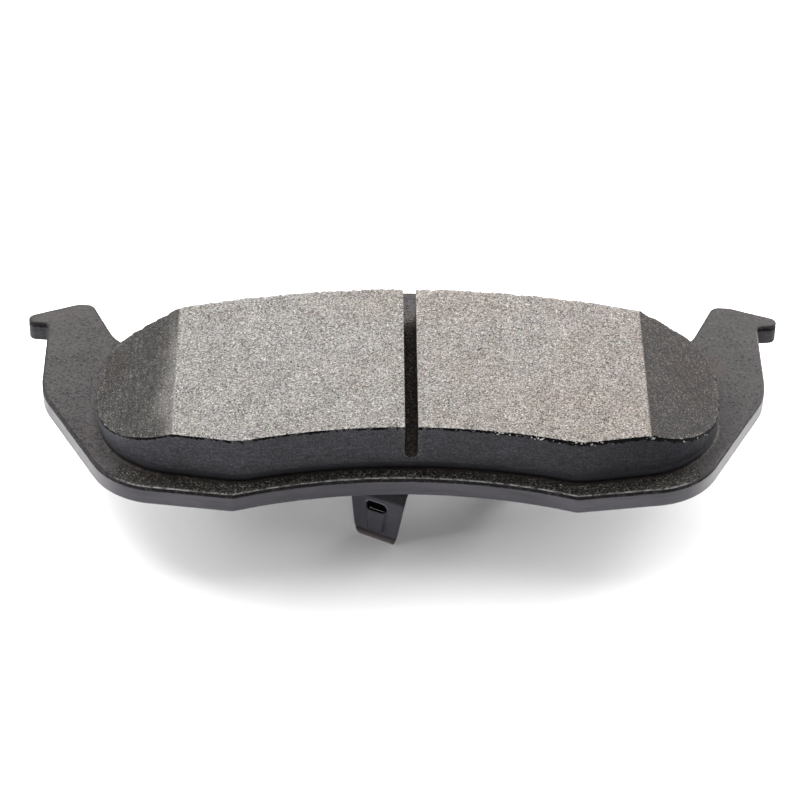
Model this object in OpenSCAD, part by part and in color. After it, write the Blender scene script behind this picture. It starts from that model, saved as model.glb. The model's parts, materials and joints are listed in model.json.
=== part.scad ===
// Disc brake pad, piston side: steel backing plate with hammer-head ears,
// moulded friction block on an underlayer, bonded noise shim and a
// three-prong piston spring clip held by one rivet.
//
// Frame: origin where the piston axis meets the back of the shim, +Z out
// through the friction face, +Y outward from the axle, +X along the pad.
// Units: millimetres.

/* [Backing plate] */
// Thickness of the steel plate
plate_t = 5; // [4:0.5:6.5]
// Half of the width over the guide necks, which slide in the carrier
neck_half = 81.4; // [81:0.1:82]
// Half of the overall width, over the tips of the hooks
hook_half = 86.05; // [85.7:0.05:86.5]
// Height of the underside of the hooks above the block's inner edge
hook_y = 50; // [49.5:0.1:50.3]
// Radius of the plate's outer edge, about the axle
lobe_r = 199.4; // [197.6:0.2:200]
// Radius of the concave inner edge
inner_edge_r = 124; // [122:1:130]
// Diameter of the moulding holes that the underlayer is pressed into
mould_hole_d = 8; // [6:0.5:10]

/* [Friction block] */
// Height of the friction face above the plate
friction_h = 12.1; // [9:0.1:14]
// Outer radius of the swept band, about the axle
swept_outer_r = 185.4; // [184.5:0.1:186]
// Inner radius of the swept band, about the axle
swept_inner_r = 137; // [136.5:0.1:137.5]
// Half length of the block
block_half = 69; // [68.5:0.1:69.5]
// Sideways offset of the moulded block on the plate
block_dx = 0.8; // [0:0.1:1.2]
// Half length of the ground flat between the two chamfers
flat_half = 51.8; // [44:0.2:56]
// Angle of the leading and trailing chamfers
chamfer_angle = 23; // [12:1:24]
// Sideways offset of the ground slot and chamfers
grind_dx = 1.25; // [0:0.05:1.5]
// Width of the dust slot
slot_w = 2.9; // [2:0.1:4]
// Height of the slot's floor above the plate
slot_floor = 3.4; // [2.6:0.1:6]

/* [Layers] */
// Thickness of the bond film between the plate and the underlayer
bond_t = 0.15; // [0.1:0.05:0.3]
// Thickness of the underlayer
underlayer_t = 2.05; // [1.5:0.05:2.3]
// Thickness of the shim's adhesive film
shim_adhesive_t = 0.1; // [0.05:0.05:0.2]
// Thickness of the shim's steel sheet
shim_core_t = 0.7; // [0.4:0.1:1]
// Thickness of the shim's rubber coat
shim_coat_t = 0.2; // [0.1:0.05:0.3]

/* [Piston clip] */
// Thickness of the spring steel sheet
clip_t = 0.8; // [0.6:0.05:1]
// Height of the clip, from the shim to the tips of its feet
clip_h = 14.3; // [13:0.1:20]
// Radius of the root bend's axis, about the piston axis
root_r = 20; // [18:0.5:24]
// Width of each leg at its root
leg_root_w = 14; // [11:0.2:15]
// Width lost by each leg for every millimetre of drop
leg_taper = 0.3; // [0.2:0.01:0.4]
// Outward lean of the legs
leg_lean = 5; // [2:1:10]
// Angle through which the foot is turned out
foot_turn = 60; // [40:5:65]
// Width of the oval hole in each leg
leg_hole_w = 5; // [4:0.5:6]
// Height of the oval hole in each leg
leg_hole_h = 2.2; // [2:0.1:3.5]
// Direction of the first leg, about the piston axis
first_leg_angle = 243; // [236:1:252]
// Running clearance of a leg in the hub's root groove
root_clearance = 0.05; // [0.04:0.01:0.08]

/* [Rivet] */
// Diameter of the rivet's shank
rivet_d = 5; // [4:0.5:6]
// Diameter of the countersunk head in the plate
rivet_head_d = 9; // [8:0.5:10]
// Diameter of the head set on the clip
rivet_set_d = 9.5; // [8.5:0.5:11]

/* [Hidden] */

// the piston axis, measured from the middle of the block's inner edge
piston_x = 4;
piston_y = 21;
axle_y = -swept_inner_r;
shim_t = shim_adhesive_t + shim_core_t + shim_coat_t;
front_z = shim_t + plate_t;
under_top = bond_t + underlayer_t;
root_bend_r = 2;
eps = 0.01;

// ---- outline helpers -------------------------------------------------

function unit(v) = v / norm(v);
function dir(v) = atan2(v[1], v[0]);
function wrap(a) = a > 180 ? a - 360 : a < -180 ? a + 360 : a;
function xy(p) = [p[0], p[1]];

// arc of radius r that rounds the corner b between a and c
function corner(a, b, c, r, n) =
    r < 0.05 ? [b] :
    let (u = unit(a - b), w = unit(c - b),
         half = acos(u * w) / 2,
         m = b + unit(u + w) * r / sin(half),
         a0 = dir(b + u * r / tan(half) - m),
         turn = wrap(dir(b + w * r / tan(half) - m) - a0))
    [for (i = [0:n]) m + r * [cos(a0 + turn * i / n), sin(a0 + turn * i / n)]];

// closed path of [x, y, r] corners with every corner rounded
function rounded(p, n = 6) =
    [for (i = [0:len(p) - 1])
        each corner(xy(p[(i + len(p) - 1) % len(p)]), xy(p[i]),
                    xy(p[(i + 1) % len(p)]), p[i][2], n)];

// height of a circle of radius r about the axle, at x
function band_y(r, x, cy) = cy + sqrt(r * r - x * x);
// corners along such a circle, from x0 to x1
function band(r, x0, x1, n, cy = axle_y) =
    [for (i = [0:n]) let (x = x0 + (x1 - x0) * i / n) [x, band_y(r, x, cy), 0]];
// the same corners on the other side, in reverse order
function mirrored(p) = [for (i = [len(p) - 1:-1:0]) [-p[i][0], p[i][1], p[i][2]]];

// ---- outlines --------------------------------------------------------

inner_edge_cy = -2.9 - inner_edge_r;
plate_side = [
    [37.5, -8.7, 3],
    [64.3, -5.05, 17],
    [neck_half, 26.3, 16],
    [neck_half, hook_y, 0.8],
    [hook_half, hook_y + 0.5, 1.7],
    [hook_half, hook_y + 3.3, 1.7],
    [75.2, 57.5, 6],
    [71.6, 57.5, 2.4],
    [64.8, 42.4, 9],
    [55, 41.4, 3.5],
    [51, 54.5, 5]];
plate_path = concat(
    band(inner_edge_r, -32, 32, 16, inner_edge_cy), plate_side,
    band(lobe_r, 46, -46, 20), mirrored(plate_side));

block_side = [
    [36.9, -5, 12],
    [block_half, 0.2, 20],
    [block_half, 34.6, 13]];
block_path = concat(
    band(swept_inner_r, -32, 32, 16), block_side,
    band(swept_outer_r, 56, -56, 24), mirrored(block_side));

shim_side = [
    [36, -5.8, 3],
    [62.5, -2.4, 15],
    [74.5, 19.2, 12],
    [74.5, 37.5, 3],
    [54, 37.5, 5],
    [48.5, 52, 5]];
shim_path = concat(
    band(inner_edge_r + 3, -30, 30, 14, inner_edge_cy), shim_side,
    band(lobe_r - 3, 42, -42, 18), mirrored(shim_side));

mould_holes = [[-50, 19], [50, 19], [-29, 8], [31, 8], [-27, 35], [31, 36]];

// ---- placing ---------------------------------------------------------

// plate coordinates: x = 0 in the middle, z = 0 on the plate's front face
module on_plate() translate([-piston_x, -piston_y, front_z]) children();
// clip coordinates of one leg: +X away from the piston axis
module on_leg(i) rotate([0, 0, first_leg_angle + 120 * i]) children();

module hole_set(d, z0, z1)
    for (p = mould_holes)
        translate([p[0], p[1], z0]) cylinder(d = d, h = z1 - z0, $fn = 64);

// ---- backing plate ---------------------------------------------------

module backing_plate()
    color([0.2, 0.2, 0.205]) on_plate() difference() {
        translate([0, 0, -plate_t]) linear_extrude(plate_t) polygon(rounded(plate_path));
        hole_set(mould_hole_d, -plate_t - 1, 1);
        translate([piston_x, piston_y, -plate_t - 1])
            cylinder(d = rivet_d, h = plate_t + 2, $fn = 64);
        translate([piston_x, piston_y, -2])
            cylinder(d1 = rivet_d, d2 = rivet_head_d, h = 2, $fn = 64);
    }

// ---- friction side ---------------------------------------------------

module block_outline() translate([block_dx, 0]) polygon(rounded(block_path));

module bond_layer()
    color([0.3, 0.24, 0.17]) on_plate() difference() {
        linear_extrude(bond_t) block_outline();
        hole_set(mould_hole_d, -1, bond_t + 1);
    }

module underlayer()
    color([0.22, 0.21, 0.2]) on_plate() {
        translate([0, 0, bond_t]) linear_extrude(underlayer_t) block_outline();
        hole_set(mould_hole_d, -plate_t, bond_t + 0.5);
    }

// wedge that cuts one end of the block back from the ground flat
module end_chamfer()
    translate([0, 100, 0]) rotate([90, 0, 0]) linear_extrude(200)
        polygon([[flat_half, friction_h],
                 [flat_half + 40, friction_h - 40 * tan(chamfer_angle)],
                 [flat_half + 40, friction_h + 5],
                 [flat_half, friction_h + 5]]);

module friction_block()
    color([0.62, 0.61, 0.59]) on_plate() difference() {
        translate([0, 0, under_top])
            linear_extrude(friction_h - under_top) block_outline();
        translate([grind_dx, 0, 0]) {
            end_chamfer();
            mirror([1, 0, 0]) end_chamfer();
            // the slot's bottom is half round
            translate([0, -20, slot_floor + slot_w / 2]) {
                rotate([-90, 0, 0]) cylinder(d = slot_w, h = 90, $fn = 48);
                translate([-slot_w / 2, 0, 0]) cube([slot_w, 90, friction_h]);
            }
        }
    }

// ---- noise shim ------------------------------------------------------

module shim_sheet(z, t)
    translate([-piston_x, -piston_y, z]) difference() {
        linear_extrude(t) polygon(rounded(shim_path));
        translate([piston_x, piston_y, -1]) cylinder(d = rivet_d, h = t + 2, $fn = 64);
    }

module shim_adhesive()
    color([0.75, 0.7, 0.55]) shim_sheet(shim_coat_t + shim_core_t, shim_adhesive_t);

module shim_core()
    color([0.7, 0.71, 0.72]) shim_sheet(shim_coat_t, shim_core_t);

module shim_coating()
    color([0.1, 0.1, 0.1]) shim_sheet(0, shim_coat_t);

// ---- piston clip -----------------------------------------------------

mid_r = root_bend_r - clip_t / 2;
lean = 90 - leg_lean;
foot_r = 0.8;
foot_l = 1;
// drop from the end of the straight stretch to the tip of the foot
foot_drop = foot_r * (cos(lean - foot_turn) - cos(lean))
    + foot_l * sin(lean - foot_turn) + clip_t / 2 * cos(lean - foot_turn);
// straight stretch of a leg, from the root bend to the foot bend
leg_l = (clip_h - root_bend_r + mid_r * cos(lean) - foot_drop) / sin(lean);

// centre line of a leg from the root, as [radius, height, heading]
root_line = [for (i = [0:8]) let (a = lean * i / 8)
    [root_r + mid_r * sin(a), -root_bend_r + mid_r * cos(a), -a]];
knee = root_line[8];
foot0 = [knee[0] + leg_l * cos(lean), knee[1] - leg_l * sin(lean)];
foot_line = [for (i = [0:6]) let (a = foot_turn * i / 6)
    [foot0[0] + foot_r * (sin(lean) - sin(lean - a)),
     foot0[1] + foot_r * (cos(lean) - cos(lean - a)), a - lean]];
toe = foot_line[6];
tip = [toe[0] + foot_l * cos(lean - foot_turn),
       toe[1] - foot_l * sin(lean - foot_turn), toe[2]];
leg_line = concat(root_line, foot_line, [tip]);
// one face of the sheet, at s half thicknesses from the centre line
function face(s) = [for (p = leg_line)
    [p[0] - s * clip_t / 2 * sin(p[2]), p[1] + s * clip_t / 2 * cos(p[2])]];
function reversed(p) = [for (i = [len(p) - 1:-1:0]) p[i]];

module leg_section()
    rotate([90, 0, 0]) linear_extrude(leg_root_w, center = true)
        polygon(concat(face(1), reversed(face(-1))));

module root_pin(r, l)
    translate([root_r, 0, -clip_t / 2]) rotate([90, 0, 0])
        cylinder(r = r, h = l, center = true, $fn = 64);

// front view of a leg: straight taper with rounded corners at the foot
function leg_half_w(z) = leg_root_w / 2 + leg_taper / 2 * z;
leg_front = rounded([
    [leg_root_w / 2, 1, 0],
    [leg_root_w / 2, -1, 0],
    [leg_half_w(-clip_h - 0.5), -clip_h - 0.5, 0.4],
    [-leg_half_w(-clip_h - 0.5), -clip_h - 0.5, 1.8],
    [-leg_root_w / 2, -1, 0],
    [-leg_root_w / 2, 1, 0]]);

module clip_leg()
    difference() {
        intersection() {
            union() { leg_section(); root_pin(clip_t / 2, leg_root_w); }
            rotate([90, 0, 90]) linear_extrude(60) polygon(leg_front);
        }
        // oval hole
        for (s = [-1, 1]) translate([root_r - 3, s * (leg_hole_w - leg_hole_h) / 2, -6])
            rotate([0, 90, 0]) cylinder(d = leg_hole_h, h = 10, $fn = 48);
        translate([root_r - 3, -(leg_hole_w - leg_hole_h) / 2, -6 - leg_hole_h / 2])
            cube([10, leg_hole_w - leg_hole_h, leg_hole_h]);
    }

module clip_hub()
    color([0.13, 0.14, 0.16]) difference() {
        translate([0, 0, -clip_t]) union() {
            cylinder(r = 12.5, h = clip_t, $fn = 96);
            for (i = [0:2]) on_leg(i)
                translate([0, -leg_root_w / 2, 0]) cube([root_r, leg_root_w, clip_t]);
        }
        for (i = [0:2]) on_leg(i)
            root_pin(clip_t / 2 + root_clearance, leg_root_w + 2);
        translate([0, 0, -clip_t - 1]) cylinder(d = rivet_d, h = clip_t + 2, $fn = 64);
    }

module clip_leg_front() color([0.15, 0.16, 0.18]) on_leg(0) clip_leg();
module clip_leg_right() color([0.15, 0.16, 0.18]) on_leg(1) clip_leg();
module clip_leg_rear() color([0.15, 0.16, 0.18]) on_leg(2) clip_leg();

// ---- rivet -----------------------------------------------------------

module clip_rivet()
    color([0.6, 0.6, 0.58]) rotate_extrude($fn = 64)
        polygon([[0, front_z], [rivet_head_d / 2, front_z],
                 [rivet_d / 2, front_z - 2], [rivet_d / 2, -clip_t],
                 [rivet_set_d / 2, -clip_t], [rivet_set_d / 2, -clip_t - 0.6],
                 [rivet_set_d / 2 - 0.7, -clip_t - 1.3],
                 [rivet_set_d / 2 - 2, -clip_t - 1.6], [0, -clip_t - 1.6]]);

backing_plate();
bond_layer();
underlayer();
friction_block();
shim_adhesive();
shim_core();
shim_coating();
clip_hub();
clip_leg_front();
clip_leg_right();
clip_leg_rear();
clip_rivet();
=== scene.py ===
import json
import math
import bpy
import numpy as np
from mathutils import Matrix, Vector
from mathutils.geometry import delaunay_2d_cdt


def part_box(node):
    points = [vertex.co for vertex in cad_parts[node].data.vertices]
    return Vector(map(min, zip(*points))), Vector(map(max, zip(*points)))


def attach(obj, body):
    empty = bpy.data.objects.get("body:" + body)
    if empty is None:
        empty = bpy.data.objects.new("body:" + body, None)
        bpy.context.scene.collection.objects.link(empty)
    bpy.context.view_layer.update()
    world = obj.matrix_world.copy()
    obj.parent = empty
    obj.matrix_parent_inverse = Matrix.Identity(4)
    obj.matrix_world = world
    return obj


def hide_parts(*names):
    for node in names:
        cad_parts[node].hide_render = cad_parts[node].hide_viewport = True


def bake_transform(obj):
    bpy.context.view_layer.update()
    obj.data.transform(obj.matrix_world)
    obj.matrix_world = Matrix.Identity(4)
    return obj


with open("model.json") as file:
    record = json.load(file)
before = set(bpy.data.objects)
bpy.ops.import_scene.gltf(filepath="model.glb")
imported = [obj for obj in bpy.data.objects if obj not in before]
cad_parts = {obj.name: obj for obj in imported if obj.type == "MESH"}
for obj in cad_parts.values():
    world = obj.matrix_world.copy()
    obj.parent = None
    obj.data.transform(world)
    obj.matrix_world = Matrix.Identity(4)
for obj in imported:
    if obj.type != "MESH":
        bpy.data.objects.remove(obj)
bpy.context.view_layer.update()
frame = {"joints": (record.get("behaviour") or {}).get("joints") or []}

MM = 0.001

# ---------------------------------------------------------------- the frame
# Plate coordinates, in millimetres: x = 0 in the middle of the plate,
# y = 0 at the middle of the block's inner edge, z = 0 on the plate's front.
lo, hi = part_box("backing_plate")
OFF = np.array([(lo.x + hi.x) / 2 / MM, hi.y / MM - 62.4, hi.z / MM])
FLOOR_Z = min(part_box("clip_leg_" + n)[0].z for n in ("front", "right", "rear"))
PIVOTS = {j["child"]: j for j in frame["joints"]}

PLATE_T = 5.0
TOP = 12.1
UNDER_TOP = 2.2
SLOT_FLOOR = 3.4
BLOCK_DX = 0.8
GRIND_DX = 1.25
FLAT = 51.8
SLOPE = math.tan(math.radians(23))
SLOT_W = 2.9

# ---------------------------------------------------------------- numbers
def rng(seed):
    return np.random.RandomState(seed)


class Noise:
    """Smooth value noise in up to three dimensions, seeded."""

    def __init__(self, seed):
        self.t = rng(seed).rand(64, 64, 64)

    def at(self, x, y=0.0, z=0.0):
        x, y, z = np.broadcast_arrays(*(np.asarray(v, float) for v in (x, y, z)))
        out = 0
        f = [np.floor(v).astype(int) for v in (x, y, z)]
        d = [v - g for v, g in zip((x, y, z), f)]
        d = [v * v * (3 - 2 * v) for v in d]
        for i in (0, 1):
            for j in (0, 1):
                for k in (0, 1):
                    w = ((d[0] if i else 1 - d[0]) * (d[1] if j else 1 - d[1])
                         * (d[2] if k else 1 - d[2]))
                    out = out + w * self.t[(f[0] + i) % 64, (f[1] + j) % 64, (f[2] + k) % 64]
        return out * 2 - 1

    def octaves(self, x, y=0.0, z=0.0, n=3):
        out, a, s = 0, 1.0, 0.0
        for i in range(n):
            m = 2 ** i
            out = out + a * self.at(np.asarray(x) * m + 7 * i, np.asarray(y) * m + 3 * i, np.asarray(z) * m)
            s += a
            a *= 0.55
        return out / s


def smooth(e0, e1, x):
    t = np.clip((np.asarray(x, float) - e0) / (e1 - e0), 0, 1)
    return t * t * (3 - 2 * t)


# ---------------------------------------------------------------- outlines
def corner(a, b, c, r, n):
    if r < 0.05:
        return [b]
    u = (a - b) / np.linalg.norm(a - b)
    w = (c - b) / np.linalg.norm(c - b)
    half = math.acos(max(-1, min(1, float(u @ w)))) / 2
    s = (u + w) / np.linalg.norm(u + w)
    m = b + s * r / math.sin(half)
    p0, p1 = b + u * r / math.tan(half) - m, b + w * r / math.tan(half) - m
    a0 = math.atan2(p0[1], p0[0])
    turn = math.atan2(p1[1], p1[0]) - a0
    turn = (turn + math.pi) % (2 * math.pi) - math.pi
    return [m + r * np.array([math.cos(a0 + turn * i / n), math.sin(a0 + turn * i / n)]) for i in range(n + 1)]


def rounded(path, n=16):
    pts = [np.array(p[:2], float) for p in path]
    out = []
    for i, p in enumerate(path):
        out += corner(pts[i - 1], pts[i], pts[(i + 1) % len(pts)], p[2], n)
    return np.array(out)


def band(r, x0, x1, n, cy=-137.0):
    return [[x0 + (x1 - x0) * i / n, cy + math.sqrt(r * r - (x0 + (x1 - x0) * i / n) ** 2), 0] for i in range(n + 1)]


def mirrored(side):
    return [[-p[0], p[1], p[2]] for p in reversed(side)]


def resample(p, step):
    q = np.vstack([p, p[:1]])
    d = np.r_[0, np.cumsum(np.hypot(*np.diff(q, axis=0).T))]
    n = max(8, int(round(d[-1] / step)))
    s = np.linspace(0, d[-1], n, endpoint=False)
    return np.stack([np.interp(s, d, q[:, 0]), np.interp(s, d, q[:, 1])], 1)


def out_normals(p, k=1):
    t = np.roll(p, -k, 0) - np.roll(p, k, 0)
    t /= np.linalg.norm(t, axis=1)[:, None] + 1e-12
    return np.stack([t[:, 1], -t[:, 0]], 1)


def inside(p, poly):
    x, y = p[:, 0][:, None], p[:, 1][:, None]
    x0, y0 = poly[:, 0][None], poly[:, 1][None]
    x1, y1 = np.roll(poly[:, 0], -1)[None], np.roll(poly[:, 1], -1)[None]
    with np.errstate(divide="ignore", invalid="ignore"):
        cross = ((y0 > y) != (y1 > y)) & (x < (x1 - x0) * (y - y0) / (y1 - y0) + x0)
    return cross.sum(1) % 2 == 1


def distance(p, poly):
    """Distance from points to a closed outline's points, in blocks to spare memory."""
    out = np.empty(len(p))
    for i in range(0, len(p), 4000):
        d = p[i:i + 4000, None, :] - poly[None]
        out[i:i + 4000] = np.sqrt((d ** 2).sum(2).min(1))
    return out


PLATE_SIDE = [[37.5, -8.7, 3], [64.3, -5.05, 17], [81.4, 26.3, 16], [81.4, 50, 0.8], [86.05, 50.5, 1.7],
              [86.05, 53.3, 1.7], [75.2, 57.5, 6], [71.6, 57.5, 2.4], [64.8, 42.4, 9], [55, 41.4, 3.5], [51, 54.5, 5]]
BLOCK_SIDE = [[36.9, -5, 12], [69, 0.2, 20], [69, 34.6, 13]]
SHIM_SIDE = [[36, -5.8, 3], [62.5, -2.4, 15], [74.5, 19.2, 12], [74.5, 37.5, 3], [54, 37.5, 5], [48.5, 52, 5]]
plate_line = rounded(band(124, -32, 32, 64, -126.9) + PLATE_SIDE + band(199.4, 46, -46, 80) + mirrored(PLATE_SIDE))
block_line = rounded(band(137, -32, 32, 64) + BLOCK_SIDE + band(185.4, 56, -56, 96) + mirrored(BLOCK_SIDE))
block_line = block_line + np.array([BLOCK_DX, 0])
shim_line = rounded(band(127, -30, 30, 56, -126.9) + SHIM_SIDE + band(196.4, 42, -42, 72) + mirrored(SHIM_SIDE))
HOLES = [(-50, 19), (50, 19), (-29, 8), (31, 8), (-27, 35), (31, 36)]
PISTON = np.array([4.0, 21.0])


# ---------------------------------------------------------------- mesh tools
class Builder:
    """Collects points and faces in plate coordinates and makes one mesh of them."""

    def __init__(self):
        self.v, self.f, self.m, self.n = [], [], [], 0
        self.tags = []

    def points(self, p, tag=0):
        p = np.asarray(p, float)
        self.v.append(p)
        self.tags.append(np.full(len(p), tag))
        i = np.arange(self.n, self.n + len(p))
        self.n += len(p)
        return i

    def faces(self, f, mat=0):
        f = np.asarray(f)
        self.f += f.tolist()
        self.m += [mat] * len(f)

    def strip(self, a, b, mat=0, closed=True, flip=False):
        """Quads between two rings of indices."""
        a2, b2 = (np.roll(a, -1), np.roll(b, -1)) if closed else (a[1:], b[1:])
        a1, b1 = (a, b) if closed else (a[:-1], b[:-1])
        q = np.stack([a1, a2, b2, b1], 1)
        self.faces(q[:, ::-1] if flip else q, mat)

    def cap(self, rings, holes, extra, z, mat=0, flip=False, tag=0):
        """Fills between outlines given as rows of (indices, xy) with a triangulation that also uses the extra points."""
        pts, idx, edges, n = [], [], [], 0
        for ids, xy in rings + holes:
            k = len(xy)
            pts.append(xy)
            idx.append(ids)
            edges += [(n + i, n + (i + 1) % k) for i in range(k)]
            n += k
        if len(extra):
            ex = self.points(np.c_[extra, z(extra) if callable(z) else np.full(len(extra), z)], tag)
            pts.append(extra)
            idx.append(ex)
        pts, idx = np.vstack(pts), np.concatenate(idx)
        co, _, tri, orig, _, _ = delaunay_2d_cdt([Vector(p) for p in pts], edges, [], 0, 1e-5)
        where = np.array([o[0] if o else -1 for o in orig])
        tri = np.array([t for t in tri if len(t) == 3])
        tri = tri[(where[tri] >= 0).all(1)]
        c = pts[where[tri]].mean(1)
        keep = np.zeros(len(c), bool)
        for _, xy in rings:
            keep |= inside(c, xy)
        for _, xy in holes:
            keep &= ~inside(c, xy)
        tri = where[tri[keep]]
        a, b, d = pts[tri[:, 0]], pts[tri[:, 1]], pts[tri[:, 2]]
        area = (b[:, 0] - a[:, 0]) * (d[:, 1] - a[:, 1]) - (b[:, 1] - a[:, 1]) * (d[:, 0] - a[:, 0])
        tri[area < 0] = tri[area < 0][:, ::-1]
        tri = tri[np.abs(area) > 1e-9]
        tri = idx[tri]
        self.faces(tri[:, ::-1] if flip else tri, mat)

    def xyz(self):
        return np.vstack(self.v)

    def make(self, name, mats, shift=None, sharp=35, attributes=None, move=None, merge=None):
        v = self.xyz()
        if move is not None:
            v = move(v)
        me = bpy.data.meshes.new(name)
        me.from_pydata(((v + (OFF if shift is None else shift)) * MM).tolist(), [], self.f)
        me.polygons.foreach_set("material_index", self.m)
        for m in mats:
            me.materials.append(m)
        for key, val in (attributes or {}).items():
            a = me.attributes.new(key, "FLOAT", "POINT")
            a.data.foreach_set("value", np.asarray(val, np.float32))
        me.validate()
        if merge:
            import bmesh
            bm = bmesh.new()
            bm.from_mesh(me)
            bmesh.ops.remove_doubles(bm, verts=bm.verts, dist=merge)
            bm.to_mesh(me)
            bm.free()
        me.shade_smooth()
        if sharp:
            me.set_sharp_from_angle(angle=math.radians(sharp))
        me.update()
        ob = bpy.data.objects.new(name, me)
        bpy.context.scene.collection.objects.link(ob)
        return ob


def grid_points(poly, step, seed, margin, holes=()):
    """Jittered points inside an outline, no nearer than margin to it."""
    r = rng(seed)
    x0, y0 = poly.min(0)
    x1, y1 = poly.max(0)
    h = step * 0.866
    ys = np.arange(y0, y1, h)
    xs = np.arange(x0, x1, step)
    X, Y = np.meshgrid(xs, ys)
    X = X + (np.arange(len(ys)) % 2)[:, None] * step / 2
    p = np.stack([X.ravel(), Y.ravel()], 1)
    p += (r.rand(*p.shape) - 0.5) * step * 0.3
    p = p[inside(p, poly)]
    p = p[distance(p, resample(poly, margin / 2)) > margin]
    for c, rad in holes:
        p = p[np.hypot(p[:, 0] - c[0], p[:, 1] - c[1]) > rad + margin * 0.6]
    return p


# ---------------------------------------------------------------- materials
def material(name):
    m = bpy.data.materials.new(name)
    m.use_nodes = True
    t = m.node_tree
    t.nodes.clear()
    out = t.nodes.new("ShaderNodeOutputMaterial")
    sh = t.nodes.new("ShaderNodeBsdfPrincipled")
    t.links.new(sh.outputs[0], out.inputs[0])
    return m, G(t, sh)


class G:
    """Short names for node building."""

    def __init__(self, tree, shader):
        self.t, self.sh = tree, shader
        self.co = tree.nodes.new("ShaderNodeTexCoord").outputs["Object"]

    def node(self, kind, inputs=None, **props):
        n = self.t.nodes.new(kind)
        for k, v in props.items():
            setattr(n, k, v)
        for k, v in (inputs or {}).items():
            self.set(n.inputs[k], v)
        return n

    def set(self, socket, v):
        if isinstance(v, bpy.types.NodeSocket):
            self.t.links.new(v, socket)
        else:
            socket.default_value = v

    def scaled(self, sx, sy, sz, turn=0.0):
        n = self.node("ShaderNodeMapping", {0: self.co, "Scale": (sx, sy, sz), "Rotation": (0, 0, turn)})
        return n.outputs[0]

    def noise(self, scale, detail=2.0, rough=0.5, vec=None, distort=0.0, out="Fac"):
        n = self.node("ShaderNodeTexNoise", {"Vector": vec or self.co, "Scale": scale, "Detail": detail,
                                             "Roughness": rough, "Distortion": distort})
        return n.outputs["Fac" if out == "Fac" else "Color"]

    def cells(self, scale, out="Color", vec=None, feature="F1", rand=1.0):
        n = self.node("ShaderNodeTexVoronoi", {"Vector": vec or self.co, "Scale": scale, "Randomness": rand}, feature=feature)
        return n.outputs[out]

    def math(self, op, a, b=0.0, c=0.0, clamp=False):
        n = self.node("ShaderNodeMath", {0: a, 1: b, 2: c}, operation=op)
        n.use_clamp = clamp
        return n.outputs[0]

    def ramp(self, fac, stops, mode="LINEAR"):
        n = self.node("ShaderNodeValToRGB", {"Fac": fac})
        e = n.color_ramp
        e.interpolation = mode
        while len(e.elements) > 1:
            e.elements.remove(e.elements[-1])
        e.elements[0].position = stops[0][0]
        e.elements[0].color = self.rgba(stops[0][1])
        for p, c in stops[1:]:
            e.elements.new(p).color = self.rgba(c)
        return n.outputs["Color"]

    @staticmethod
    def rgba(c):
        return (c, c, c, 1) if isinstance(c, (int, float)) else (*c, 1)

    def mix(self, fac, a, b, mode="MIX"):
        n = self.node("ShaderNodeMix", data_type="RGBA", blend_type=mode)
        self.set(n.inputs[0], fac)
        for i, v in ((6, a), (7, b)):
            self.set(n.inputs[i], self.rgba(v) if not isinstance(v, bpy.types.NodeSocket) else v)
        return n.outputs[2]

    def range(self, v, a, b, c=0.0, d=1.0, clamp=True, kind="LINEAR"):
        n = self.node("ShaderNodeMapRange", {0: v, 1: a, 2: b, 3: c, 4: d}, clamp=clamp, interpolation_type=kind)
        return n.outputs[0]

    def red(self, color):
        return self.node("ShaderNodeSeparateColor", {0: color}).outputs[0]

    def attribute(self, name):
        return self.node("ShaderNodeAttribute", attribute_name=name, attribute_type="GEOMETRY").outputs["Fac"]

    def xyz(self):
        n = self.node("ShaderNodeSeparateXYZ", {0: self.co})
        return n.outputs[0], n.outputs[1], n.outputs[2]

    def bump(self, height, strength, distance, below=None):
        n = self.node("ShaderNodeBump", {"Height": height, "Strength": strength, "Distance": distance})
        if below is not None:
            self.set(n.inputs["Normal"], below)
        return n.outputs[0]

    def finish(self, color, rough, normal=None, **kw):
        self.set(self.sh.inputs["Base Color"], color if isinstance(color, bpy.types.NodeSocket) else self.rgba(color))
        self.set(self.sh.inputs["Roughness"], rough)
        if normal is not None:
            self.set(self.sh.inputs["Normal"], normal)
        for k, v in kw.items():
            self.set(self.sh.inputs[k.replace("_", " ")], v)


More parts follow.
